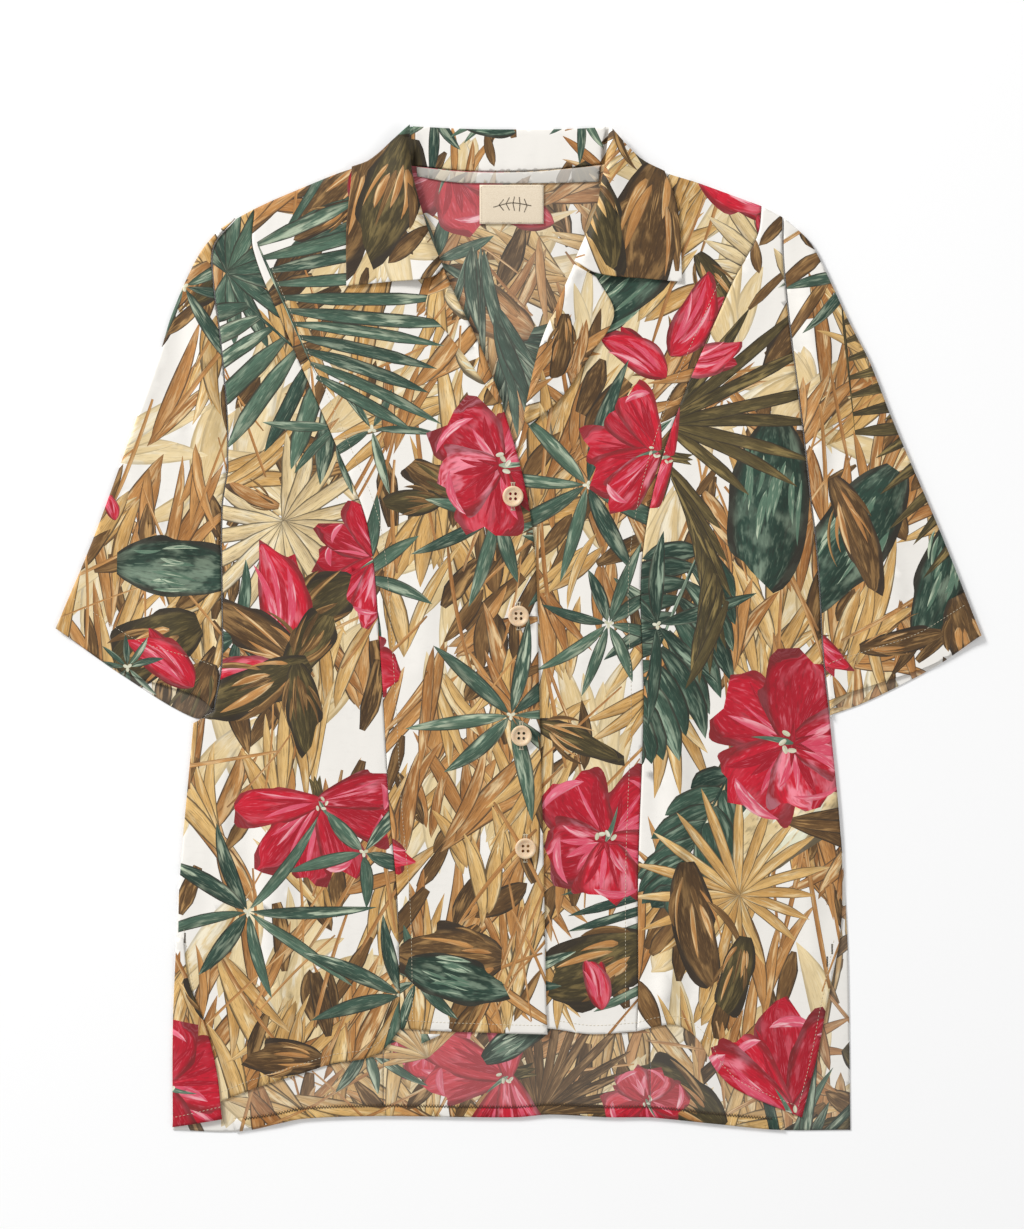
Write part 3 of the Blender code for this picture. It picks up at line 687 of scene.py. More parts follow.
def sheet_mesh(outline, brushes, height, pace=5.0, rings=(1.6,), seed=0):
    """Triangles over a panel whose edges follow the painted shapes, with their dyes by corner."""
    brushes, (shapes, edges) = shown_edges(brushes, outline)
    count = len(outline)
    loop = [(i, (i + 1) % count) for i in range(count)]
    chance = np.random.default_rng(seed)
    low, high = outline.min(0), outline.max(0)
    xs, ys = np.arange(low[0], high[0], pace), np.arange(low[1], high[1], pace * 0.87)
    grid = np.array([(x + (j % 2) * pace / 2, y) for j, y in enumerate(ys) for x in xs])
    grid += chance.uniform(-0.2, 0.2, grid.shape) * pace
    grid = grid[within(grid, outline)]
    grid = grid[distance(grid, outline, True) > max(rings) + 1.0]
    inner = []
    for depth in rings:
        inset = drawn_in(outline, depth)
        inner.append(inset[within(inset, outline) & (distance(inset, outline, True) > depth * 0.7)])
    if shapes is None:
        shapes, edges = np.zeros((0, 2)), np.zeros((0, 2), int)
    used = np.unique(edges)
    renumber = np.zeros(len(shapes) + 1, int)
    renumber[used] = np.arange(len(used)) + count
    points = np.vstack([outline, shapes[used], *inner, grid])
    found = delaunay_2d_cdt(
        [Vector(p) for p in points], loop + renumber[edges].tolist(), [], 0, 0.04, False
    )
    plan = np.array([tuple(p) for p in found[0]])
    faces = np.array([f for f in found[2] if len(f) == 3])
    middles = plan[faces].mean(1)
    inside = within(middles, outline)
    faces, middles = faces[inside], middles[inside]
    owner = np.full(len(faces), -1)
    for i, brush in enumerate(brushes):
        near = np.nonzero((middles > brush.low).all(1) & (middles < brush.high).all(1))[0]
        if len(near):
            owner[near[within(middles[near], brush.outline)]] = i
    kept, faces = np.unique(faces, return_inverse=True)
    faces = faces.reshape(-1, 3)
    plan = plan[kept]
    corners = plan[faces].reshape(-1, 2)
    ground = linear(GROUND)
    dye = np.tile([*ground, 0.15], (len(corners), 1))
    wash = np.tile([*(ground * 0.93), 1.0], (len(corners), 1))
    grain = np.stack([corners[:, 0] * 0.05, corners[:, 1] * 0.05, np.full(len(corners), 0.37)], 1)
    place = np.tile([0.5, 0.0, 0.0], (len(corners), 1))
    for i, brush in enumerate(brushes):
        mine = np.nonzero(owner == i)[0]
        if not len(mine):
            continue
        mine = (mine[:, None] * 3 + np.arange(3)).ravel()
        along, across = brush.local(corners[mine])
        dye[mine], wash[mine] = brush.dye, brush.light
        grain[mine] = np.stack(
            [along * brush.length * 0.05, across * brush.stripes, np.full(len(mine), brush.seed)], 1
        )
        place[mine] = np.stack([along, across, np.full(len(mine), brush.ink)], 1)
    rim = distance(plan, outline, True)
    return plan, faces, height(plan[:, 0], plan[:, 1], rim), (dye, wash, grain, place)


def cloth(
    name, layers, nodes, flat, rests_on, area=None,
    face=right_side, reverse=wrong_side,
):
    """Makes one piece from one or two layers of triangles, and gives it its wall."""
    vertices, faces, values = [], [], []
    start = 0
    for number, (plan, triangles, heights, dyes) in enumerate(layers):
        if number > 0:  # the layer below faces down
            triangles = triangles[:, ::-1]
            dyes = [d.reshape(-1, 3, d.shape[1])[:, ::-1].reshape(d.shape) for d in dyes]
        vertices.append(np.column_stack([plan, heights]) * MM)
        faces.append(triangles + start)
        values.append(dyes)
        start += len(plan)
    mesh = bpy.data.meshes.new(name)
    mesh.from_pydata(np.vstack(vertices).tolist(), [], np.vstack(faces).tolist())
    for k, label in enumerate(("dye", "wash", "grain", "place")):
        key = "color" if k < 2 else "vector"
        made = mesh.attributes.new(label, f"FLOAT_{key.upper()}", "CORNER")
        made.data.foreach_set(key, np.vstack([v[k] for v in values]).astype(np.float32).ravel())
    piece = put(name, mesh)
    mesh.materials.append(face)
    mesh.materials.append(reverse)
    mesh.shade_smooth()
    wall = piece.modifiers.new("wall", "SOLIDIFY")
    wall.thickness = CLOTH * MM
    wall.offset = 0.0
    wall.material_offset = 1
    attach(piece, "root")
    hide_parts(*nodes)
    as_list(rests_on)


def collar_rise(x, y):
    """1 over the collar's hidden fall, 0 away from it."""
    return 1 - smoothstep(0, 45, np.maximum(abs(x + 7) - 113, 312 - y))


def back_level(x, y):
    return WALL / 2 + LAYER * collar_rise(x, y)


def seam_dip(rim):
    """How far a panel's edge dips where it is turned under at a seam."""
    return -0.3 * np.exp(-((rim / 1.2) ** 2))


def back_height(x, y, rim):
    return back_level(x, y) + seam_dip(rim) + 0.3


back_print = Print(41)
back_print.reeds(-255, -368, 245, 350, 1000, 80, 34)
back_print.reeds(-90, 190, 90, 335, 120, 80, 50)
back_print.reeds(-250, -366, 245, -290, 190, 80, 60)
back_print.draw([
    ("fan", -30, 150, -70, 120), ("fan", 150, 40, 200, 150, {"dye": "brown", "count": 15}),
    ("fan", -170, -60, 60, 130), ("star", -40, 40, 10, 60), ("star", 60, -120, 40, 66),
    ("paddle", -200, 100, 20, 90), ("croton", 60, 150, 60, 100), ("frond", -60, -160, 200, 110),
    ("croton", -140, -200, 100, 90), ("hibiscus", 20, -20, 30, 72), ("hibiscus", -150, 190, 80, 70),
    ("hibiscus", 150, -180, 10, 74), ("star", -180, 20, 0, 60), ("star", 180, 180, 20, 62),
    ("bud", -120, -100, 60, 44), ("bud", 100, 60, 120, 42), ("hibiscus", -100, -330, 40, 60),
    ("star", -60, 252, 20, 60), ("fan", 10, 235, -60, 95, {"dye": "green", "spread": 120}),
    ("croton", 30, 240, 120, 70, {"dye": "tan"}),
    ("hibiscus", -36, 300, -120, 78), ("bud", 46, 292, 150, 50), ("bud", 20, 318, 200, 40),
    # below the front hem
    ("fan", 22, -338, 62, 88, {"dye": "brown", "spread": 150, "count": 14}),
    ("hibiscus", -16, -332, 190, 70, {"spread": 190}), ("star", -140, -322, 15, 52),
    ("fan", -90, -345, 100, 60, {"dye": "ochre"}), ("croton", 150, -330, 130, 80, {"dye": "olive"}),
    ("bud", 128, -345, 100, 62), ("hibiscus", 118, -318, 250, 52),
    ("croton", 190, -362, 30, 56, {"dye": "olive", "flame": "ochre"}),
    ("croton", -200, -335, 60, 70, {"dye": "olive", "flame": "ochre"}), ("bud", 240, -246, 86, 52),
    ("croton", 214, -276, -28, 50, {"dye": "olive"}),
    ("tuft", 210, -366, 66, 104, {"dye": "green", "blades": 6, "spread": 52}),
    ("paddle", -60, -344, 8, 52),
    ("tuft", -18, 244, -96, 78, {"dye": "green", "blades": 6, "spread": 30}),
    ("tuft", 12, 226, -100, 70, {"dye": "pine", "blades": 5, "spread": 34}),
])
BACK = {
    "back_centre": (
        ring(
            line(LEFT["yoke"]), line(NECK_SEAM), line(RIGHT["yoke"]),
            line(RIGHT["back princess"]), back(BACK_HEM), back(LEFT["back princess"]),
        ), (0.365, 0.698), 0.1547,
    ),
    "back_side_left": (
        round_of(
            LEFT, "shoulder", "back princess", "-back hem", "-back side", "-sleeve end",
            "-underarm", "-armhole",
        ), (0.152, 0.664), 0.0739,
    ),
    "back_side_right": (
        round_of(
            RIGHT, "shoulder", "armhole", "underarm", "back side", "-back hem", "-back princess",
        ), (0.145, 0.665), 0.0721,
    ),
}
for name, (outline, flat, area) in BACK.items():
    layer = sheet_mesh(outline, back_print.brushes, back_height)
    cloth(f"{name}_panel", [layer], [name], flat, ["floor"], area, wrong_side, right_side)

# ---------------------------------------------------------------------------------------------
# Fronts: two centre panels and two side panels
# Each front is cut in two, joined by a seam that curves in from the shoulder. The front on the
# viewer's left laps over and buttons down. Below, the side panels end in slits.

# Soft folds of the top layer: start x, start y, end x, end y, height, half width
FOLDS = [
    (-180, -150, -172, -270, 2.5, 14),
    (117, -70, 106, -262, 2.8, 12),
    (134, 60, 137, -20, 1.5, 12),
    (-236, 225, -222, 150, 3.0, 13),
    (214, 235, 222, 150, 3.0, 13),
    (-262, 70, -240, -20, 2.5, 18),
    (246, 90, 262, 0, 2.5, 18),
    (-165, 60, -160, -70, 2.0, 22),
    (180, 150, 178, 20, 2.0, 22),
]
# Smaller creases that the solid leaves out, with the same columns; a trough has a minus sign
CREASES = [
    (-194, -150, -190, -262, -0.8, 7),
    (-160, -190, -158, -260, -0.6, 6),
    (128, -60, 119, -250, -0.9, 7),
    (100, -120, 96, -250, -0.6, 6),
    (124, 50, 127, -10, -0.6, 6),
    (-245, 210, -232, 140, -0.8, 7),
    (206, 200, 212, 120, -0.7, 7),
    (-285, 60, -262, -10, -0.7, 9),
    (230, 70, 244, -20, -0.8, 8),
    (275, 110, 292, 30, 0.9, 12),
    (-40, 130, -20, 60, 0.5, 12),
    (-60, -20, -58, -140, 0.6, 16),
    (40, -10, 46, -130, 0.6, 15),
    (60, 210, 110, 150, 0.6, 12),
    (-120, 240, -90, 180, 0.6, 14),
    (-150, -60, -149, -130, -0.5, 10),
    (200, -60, 204, -190, 0.9, 12),
    (-215, -60, -224, -170, 0.8, 12),
    (160, -190, 150, -280, 0.8, 12),
    (-228, 205, -214, 96, 1.3, 5), (-240, 150, -222, 62, -1.0, 6), (-276, 110, -238, -16, 1.2, 7),
    (-250, 20, -226, -40, -0.9, 6), (206, 255, 216, 120, 1.3, 5), (228, 180, 226, 84, -1.0, 6),
    (262, 96, 276, -8, 1.3, 7), (236, 60, 244, -30, -0.9, 6), (-208, -90, -214, -210, 1.3, 6),
    (-199, -40, -206, -150, -0.9, 6), (-182, -200, -176, -300, 1.2, 6), (-66, 60, -70, -30, 0.9, 8),
    (116, -150, 104, -270, 1.4, 5), (136, -100, 126, -260, -1.0, 6), (206, -120, 212, -240, 1.2, 7),
    (184, -60, 188, -170, -0.8, 8), (62, -60, 66, -180, 0.9, 8), (-30, -170, -36, -270, 0.9, 9),
    (150, 200, 168, 120, 1.0, 8), (-150, 250, -128, 190, 0.9, 8), (-200, 100, -196, 0, 1.0, 8),
    (30, -200, 44, -270, 0.8, 7), (-120, 40, -116, -50, 0.8, 8), (186, 90, 192, -10, 1.1, 7),
]
FRONT_EDGE = line(LEFT["front edge"])


def fold_lift(x, y):
    """Height of the folds and creases; no trough goes through to the layer below."""
    lift = np.zeros_like(x)
    for x0, y0, x1, y1, height, width in FOLDS + CREASES:
        dx, dy = x1 - x0, y1 - y0
        share = np.clip(((x - x0) * dx + (y - y0) * dy) / (dx * dx + dy * dy), 0, 1)
        away = np.hypot(x - x0 - share * dx, y - y0 - share * dy)
        lift += height * np.exp(-((away / width) ** 2))
    return np.maximum(lift, -0.9)


def overlap_rise(x, y):
    """1 where the left front lies on the right front, 0 where it lies on the back."""
    edge = np.interp(-y, -FRONT_EDGE[:, 1], FRONT_EDGE[:, 0])
    return np.clip((45 - (edge - x)) / 12, 0, 1) * (1 - smoothstep(140, 185, y))


def right_front_level(x, y):
    return back_level(x, y) + LAYER + fold_lift(x, y)


def left_front_level(x, y):
    return right_front_level(x, y) + LAYER * overlap_rise(x, y)


def right_front_height(x, y, rim):
    return right_front_level(x, y) + seam_dip(rim) + 0.1


def left_front_height(x, y, rim):
    return left_front_level(x, y) + seam_dip(rim) + 0.1


# Stitches: one small spindle of thread every pitch along a drawn line, turned by the slant to
# one side and the other by turns. A slant of a quarter turn lays them side by side, as satin.
STITCHES = bpy.data.node_groups.new("stitches", "GeometryNodeTree")
for label, kind in (
    ("Line", "Geometry"), ("Pitch", "Float"), ("Length", "Float"), ("Thickness", "Float"),
    ("Slant", "Float"), ("Thread", "Material"),
):
    STITCHES.interface.new_socket(label, in_out="INPUT", socket_type=f"NodeSocket{kind}")
STITCHES.interface.new_socket("Sewn", in_out="OUTPUT", socket_type="NodeSocketGeometry")


def step(kind, settings=None, **values):
    """Adds a node to the stitches, with sockets set by name; an underscore stands for a space."""
    made = STITCHES.nodes.new(kind)
    for name, value in (settings or {}).items():
        setattr(made, name, value)
    for name, value in values.items():
        socket = made.inputs[int(name[1:]) if name[1:].isdigit() else name.replace("_", " ")]
        if isinstance(value, bpy.types.NodeSocket):
            STITCHES.links.new(value, socket)
        else:
            socket.default_value = value
    return made.outputs


given = step("NodeGroupInput")
drawn = step("GeometryNodeMeshToCurve", Mesh=given["Line"])
needle = step(
    "GeometryNodeCurveToPoints", {"mode": "LENGTH"}, Curve=drawn[0], Length=given["Pitch"],
)
ahead = step(
    "FunctionNodeAlignRotationToVector", {"axis": "X", "pivot_axis": "Z"},
    Vector=needle["Tangent"],
)
odd = step("ShaderNodeMath", {"operation": "MODULO"}, s0=step("GeometryNodeInputIndex")[0], s1=2.0)
side = step("ShaderNodeMath", {"operation": "MULTIPLY_ADD"}, s0=odd[0], s1=2.0, s2=-1.0)
lean = step("ShaderNodeMath", {"operation": "MULTIPLY"}, s0=side[0], s1=given["Slant"])
turned = step("FunctionNodeEulerToRotation", s0=step("ShaderNodeCombineXYZ", Z=lean[0])[0])
pointed = step("FunctionNodeRotateRotation", {"rotation_space": "LOCAL"}, s0=ahead[0], s1=turned[0])
spindle = step("GeometryNodeMeshIcoSphere", Radius=0.5, Subdivisions=1)
rounded = step("GeometryNodeSetShadeSmooth", s0=spindle[0])
bulk = step("ShaderNodeCombineXYZ", X=given["Length"], Y=given["Thickness"], Z=given["Thickness"])
laid = step(
    "GeometryNodeInstanceOnPoints", Points=needle["Points"], Instance=rounded[0],
    Rotation=pointed[0], Scale=bulk[0],
)
real = step("GeometryNodeRealizeInstances", s0=laid[0])
dyed = step("GeometryNodeSetMaterial", Geometry=real[0], Material=given["Thread"])
step("NodeGroupOutput", Sewn=dyed[0])


def thread(name, code):
    """Matt polyester sewing thread, with a slight change of tone along it."""
    material, shader = surface(name, 0.6)
    spot = Shade(material.node_tree).node("ShaderNodeTexCoord", output=3)
    tone = spot.noise(900.0, 1.0).between(0.35, 0.65)
    (tone * 0.5).colours((*linear(code), 1), (*linear(code) * 0.6, 1)).feeds(shader, "Base Color")
    return material


pale_thread = thread("ecru thread", "#DDD2B8")
dark_thread = thread("brown thread", "#453524")
RUNNING = {"Pitch": 2.7, "Length": 2.1, "Thickness": 0.36, "Slant": 0.0}
SATIN = {"Pitch": 0.42, "Length": 1.5, "Thickness": 0.42, "Slant": math.pi / 2}


def sewn(name, lines, sizes, yarn, height):
    """Sews along lines drawn on the cloth whose height is given, and keeps only the stitches."""
    points, edges = [], []
    clear = 0.08  # from the face of the cloth to the middle of a stitch
    for run in lines:
        edges.extend((len(points) + i, len(points) + i + 1) for i in range(len(run) - 1))
        inland = np.full(len(run), 9.0)  # away from the dip along the rim
        lift = height(run[:, 0], run[:, 1], inland) + CLOTH / 2 + clear
        points.extend((np.column_stack([run, lift]) * MM).tolist())
    path = bpy.data.meshes.new(f"{name} line")
    path.from_pydata(points, edges, [])
    guide = put(f"{name} line", path)
    needlework = guide.modifiers.new("stitches", "NODES")
    needlework.node_group = STITCHES
    for item in STITCHES.interface.items_tree:
        if item.name in sizes:
            needlework[item.identifier] = sizes[item.name] * (1 if item.name == "Slant" else MM)
        elif item.name == "Thread":
            needlework[item.identifier] = yarn
    view = bpy.context.evaluated_depsgraph_get()
    piece = put(name, bpy.data.meshes.new_from_object(guide.evaluated_get(view)))
    bpy.data.objects.remove(guide)
    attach(piece, "root")


def beside(run, amount):
    """A line drawn to the left of another one, or to its right for a minus amount."""
    along = np.gradient(run, axis=0)
    along /= np.linalg.norm(along, axis=1)[:, None]
    return run + np.stack([-along[:, 1], along[:, 0]], 1) * amount


side_left = Print(7)
side_left.reeds(-250, -350, -85, 120, 310, 78, 24)
side_left.reeds(-220, 110, -90, 310, 95, 60, 40)
side_left.draw([
    ("fan", -152, 96, -86, 92, {"dye": "sand", "spread": 300, "count": 17, "width": 0.12}),
    ("croton", -156, 118, 150, 38, {"dye": "tan", "width": 0.3}),
    ("tuft", -232, 130, -80, 90, {"dye": "tan", "blades": 5}),
    ("fan", -206, 244, 20, 74, {"spread": 250, "count": 11, "width": 0.15}),
    ("comb", -190, 206, 228, 84, {"run": 96, "along": -42, "swing": -76, "count": 9, "width": 13}),
    ("star", -140, 158, 40, 52, {"count": 6, "width": 0.16}),
    ("hibiscus", -104, 72, 176, 52, {"spread": 150}),
    ("bud", -212, 78, 80, 30),
    ("star", -178, 18, 20, 54, {"count": 8, "width": 0.19, "dye": "pine"}),
    ("croton", -150, -14, 48, 66, {"dye": "olive", "flame": "brown", "width": 0.55}),
    ("bud", -134, -46, 130, 84),
    ("croton", -130, -58, 172, 86, {"dye": "brown", "width": 0.34}),
    ("croton", -132, -60, 84, 56, {"dye": "olive", "flame": "brown", "width": 0.5}),
    ("bud", -138, -66, 196, 66),
    ("croton", -130, -62, 238, 88, {"dye": "olive", "width": 0.38}),
    ("croton", -126, -60, 292, 62, {"dye": "olive", "flame": "brown", "width": 0.4}),
    ("hibiscus", -130, -126, 268, 62, {"spread": 190, "petals": 6}),
    ("star", -92, -136, 100, 60, {"count": 5, "width": 0.18}),
    ("star", -222, -203, 12, 88), ("star", -104, -244, 30, 76),
    ("croton", -170, -290, 200, 54, {"dye": "brown"}),
])
centre_left = Print(12)
centre_left.reeds(-110, -295, 25, 115, 280, 75, 26)
centre_left.reeds(-190, 110, 0, 340, 115, 60, 34)
centre_left.draw([
    ("croton", -96, 322, 215, 78, {"dye": "brown"}), ("tuft", -168, 292, 24, 84, {"dye": "green"}),
    ("croton", -150, 296, 200, 54, {"dye": "brown", "width": 0.3}),
    ("star", -126, 158, 70, 46, {"count": 5}),
    ("bud", -150, 322, -40, 64), ("bud", -132, 320, -70, 50),
    ("comb", -196, 262, -4, 118, {"run": 104, "along": -66, "swing": 52, "count": 11, "width": 9.5}),
    ("paddle", -64, 210, -10, 46, {"dye": "sand", "width": 0.8}),
    ("croton", -78, 132, 170, 44, {"dye": "brown", "flame": "olive"}),
    ("croton", -80, 124, 205, 40, {"dye": "olive", "flame": "brown"}),
    ("star", -36, 54, 12, 66), ("star", -92, 12, -10, 62, {"count": 7}),
    ("croton", 12, 98, 192, 62, {"dye": "olive", "flame": "olive", "width": 0.3}),
    ("croton", 16, 72, 178, 80, {"dye": "olive", "flame": "brown", "width": 0.32}),
    ("hibiscus", -50, 146, 20, 96), ("star", 8, 26, 40, 52, {"count": 7}),
    ("star", -13, -56, 8, 90), ("hibiscus", -94, -52, 10, 62),
    ("bud", -96, -130, -26, 52), ("croton", 20, -90, 100, 56, {"dye": "olive", "width": 0.3}),
    ("star", -100, -242, 60, 54, {"count": 7}),
    ("croton", 6, -262, 190, 72, {"dye": "brown", "width": 0.62}),
    ("paddle", -92, -231, -4, 74, {"width": 0.46}),
])
centre_right = Print(19)
centre_right.reeds(-25, -295, 100, 130, 230, 72, 24)
centre_right.reeds(0, 110, 180, 345, 130, 58, 14, 1.15)
centre_right.draw([
    ("fan", 172, 258, 152, 80, {"dye": "sand", "spread": 96, "count": 8, "width": 0.13}),
    ("croton", 116, 300, -48, 56, {"dye": "olive", "width": 0.34}),
    ("croton", 88, 262, 34, 66, {"dye": "olive", "width": 0.34}),
    ("bud", 106, 334, -26, 84), ("bud", 152, 318, -20, 50),
    ("bud", 132, 186, 72, 66), ("bud", 126, 164, 165, 56),
    ("paddle", 60, 247, 8, 100, {"width": 0.46}),
    ("star", 92, 12, 50, 64, {"count": 7}), ("star", 23, 82, 20, 94),
    ("hibiscus", 129, 100, 182, 56, {"spread": 130}),
    ("star", 36, -6, 100, 60), ("croton", 8, -58, -6, 62, {"dye": "olive", "width": 0.3}),
    ("comb", 96, -150, 186, 78, {"run": 112, "along": -94, "swing": -16, "count": 11, "width": 6.5}),
    ("paddle", 8, -176, -24, 48, {"dye": "sand", "width": 0.8}),
    ("hibiscus", 50, -124, 40, 90),
    ("croton", 98, -244, 208, 84, {"dye": "olive", "width": 0.6}), ("star", 16, -278, 60, 60),
    ("bud", 92, -284, 110, 40),
])
side_right = Print(23)
side_right.reeds(80, -360, 245, 110, 260, 82, 20)
side_right.reeds(90, 100, 215, 305, 85, 64, 26)
side_right.draw([
    ("fan", 172, 258, 70, 62, {"dye": "sand", "spread": 130, "count": 8, "width": 0.15}),
    ("croton", 206, 250, 236, 92, {"dye": "brown", "width": 0.36}), ("paddle", 118, 236, 20, 46),
    ("tuft", 218, 268, 211, 92, {"dye": "green", "blades": 3, "spread": 26}),
    ("paddle", 196, 130, -98, 120, {"width": 0.5}),
    ("frond", 166, 66, 240, 150, {"pairs": 12, "width": 0.1, "angle": 60}),
    ("star", 92, 12, 30, 70, {"count": 6, "width": 0.2, "dye": "pine"}),
    ("comb", 142, 100, -52, 92, {
        "dye": "olive", "run": 108, "along": -66, "swing": 66, "count": 11, "width": 9.5,
    }),
    ("fan", 136, 112, 34, 132, {"dye": "olive", "spread": 118, "count": 10, "width": 0.07}),
    ("fan", 138, 108, -102, 78, {"dye": "olive", "spread": 44, "count": 5, "width": 0.1}),
    ("comb", 196, 0, -66, 96, {
        "dye": "brown", "run": 30, "along": -70, "swing": 20, "count": 3, "width": 11,
    }),
    ("tuft", 126, 206, 60, 70, {"dye": "tan"}), ("bud", 128, 176, 28, 52),
    ("hibiscus", 129, 100, 182, 56, {"spread": 130}),
    ("paddle", 118, -196, 44, 150, {"dye": "sand", "width": 0.62}),
    ("frond", 128, -70, 252, 104, {"pairs": 8, "width": 0.15, "angle": 44}),
    ("fan", 134, -208, 120, 78, {"dye": "ochre", "spread": 330, "count": 19, "width": 0.1}),
    ("fan", 156, -160, -22, 92, {"dye": "brown", "spread": 34, "count": 3, "width": 0.1}),
    ("paddle", 196, -236, -8, 36, {"width": 0.3}),
    ("croton", 106, -206, -72, 90, {"dye": "brown", "width": 0.36}),
    ("croton", 150, -228, -110, 60, {"dye": "olive", "width": 0.4}),
    ("hibiscus", 214, -102, 165, 104), ("hibiscus", 186, -324, 106, 86, {"spread": 124, "petals": 5}),
])
FRONTS = {
    "front_side_left": (
        round_of(
            LEFT, "shoulder", "princess", "-hem", "-slit", "-side", "-sleeve end", "-underarm",
            "-armhole",
        ), side_left, left_front_height, (0.16, 0.646), 0.0666, ["back_side_left_panel"],
    ),
    "front_centre_left": (
        round_of(LEFT, "yoke", "front edge", "-centre hem", "-princess"),
        centre_left, left_front_height, (0.213, 0.636), 0.0718, ["back_centre_panel"],
    ),
    "front_centre_right": (
        round_of(RIGHT, "yoke", "princess", "-centre hem", "-front edge"),
        centre_right, right_front_height, (0.2, 0.638), 0.0654, ["back_centre_panel"],
    ),
    "front_side_right": (
        round_of(
            RIGHT, "shoulder", "armhole", "underarm", "side", "slit", "-hem", "-princess",
        ), side_right, right_front_height, (0.149, 0.656), 0.0689, ["back_side_right_panel"],
    ),
}
for name, (outline, design, height, flat, area, below) in FRONTS.items():
    layer = sheet_mesh(outline, design.brushes, height, pace=4.5)
    cloth(f"{name}_panel", [layer], [name], flat, below, area)

# Topstitching beside the long seams, above the hems and down the slits
SEAM_STITCH = 9
HEM_STITCH = 6.5
SLIT_STITCH = 4.5
sewn("left_front_topstitch", [
    beside(line(LEFT["princess"]), SEAM_STITCH)[12:-2],
    beside(line(LEFT["centre hem"]), HEM_STITCH)[1:-1],
    beside(line(LEFT["hem"]), HEM_STITCH)[2:-1], beside(line(LEFT["slit"]), SLIT_STITCH)[:-2],
], RUNNING, pale_thread, left_front_height)
right_hem = beside(line(RIGHT["centre hem"]), HEM_STITCH)
sewn("right_front_topstitch", [
    beside(line(RIGHT["princess"]), -SEAM_STITCH)[15:-2], right_hem[right_hem[:, 0] > 24],
    beside(line(RIGHT["hem"]), HEM_STITCH)[1:-2], beside(line(RIGHT["slit"]), -SLIT_STITCH)[:-2],
], RUNNING, pale_thread, right_front_height)
sewn("slit_bar_tacks", [
    np.array([(x, y), (x, y - 7)], float) for x, y in ((-240, -219), (225.5, -227), (222, -236))
], SATIN, dark_thread, right_front_height)

# ---------------------------------------------------------------------------------------------
# Sleeves
# One piece of the printed cloth each, sewn into a tube that lies flat, folded along its top and
# under the arm, with a deep turned hem at the opening.

SLEEVE_FOLD = 3.0
FOLD_REACH = 2.0  # width over which the cloth turns over at a fold


def sleeve_heights(folds):
    """Heights of a sleeve's two layers, which meet along its folds."""
    middle = WALL / 2 + SLEEVE_FOLD / 2

    def turn(x, y):
        away = np.minimum(*(distance(np.column_stack([x, y]), fold) for fold in folds))
        return away, np.sqrt(1 - (1 - np.clip(away / FOLD_REACH, 0, 1)) ** 2) * SLEEVE_FOLD / 2

    def front(x, y, rim):
        away, rise = turn(x, y)
        settle = (SLEEVE_FOLD - LAYER) * (1 - np.exp(-np.maximum(0, away - FOLD_REACH) / 9))
        return middle + rise - settle + fold_lift(x, y) * smoothstep(0, 30, away)

    def under(x, y, rim):
        return middle - turn(x, y)[1]

    return front, under


sleeve_left = Print(31)
sleeve_left.reeds(-340, -75, -200, 300, 200, 68, 24)
sleeve_left.draw([
    ("croton", -206, 290, 230, 70, {"dye": "olive", "width": 0.36}),
    ("croton", -224, 268, 215, 60, {"dye": "tan", "width": 0.3}),
    ("star", -226, 214, -96, 84, {"count": 7, "width": 0.13}),
    ("bud", -256, 118, 150, 30), ("bud", -298, 66, 110, 22),
    ("croton", -220, 26, 212, 74, {"dye": "olive", "width": 0.62}),
    ("croton", -214, 0, 240, 58, {"dye": "brown", "flame": "olive"}),
    ("paddle", -320, 50, -4, 88, {"width": 0.5}), ("bud", -252, -24, 158, 60),
    ("star", -316, 0, 20, 30),
])
sleeve_right = Print(37)
sleeve_right.reeds(185, -75, 340, 300, 180, 62, 26)
sleeve_right.draw([
    ("star", 212, 244, 30, 56), ("bud", 232, 236, -60, 26),
    ("paddle", 258, 122, -112, 120, {"width": 0.46}), ("paddle", 292, 110, -80, 90, {"width": 0.4}),
    ("croton", 232, 110, -80, 84, {"dye": "brown", "width": 0.3}),
    ("comb", 290, 168, 214, 96, {
        "dye": "olive", "run": 104, "along": -64, "swing": -36, "count": 8, "width": 9,
    }),
    ("comb", 202, 222, -4, 96, {
        "dye": "olive", "run": 92, "along": -84, "swing": 26, "count": 8, "width": 9,
    }),
    ("croton", 296, 50, -64, 66, {"dye": "brown", "width": 0.7}),
    # The bud by the right armhole is part of the print, and it also serves as painted shade for the dark
    # fold between the body and the sleeve.
    ("croton", 262, -10, 10, 60, {"dye": "brown", "width": 0.3}), ("bud", 226, 30, -80, 44),
])
ARMHOLE_GAP = 0.8
SLEEVE_STITCH = 25
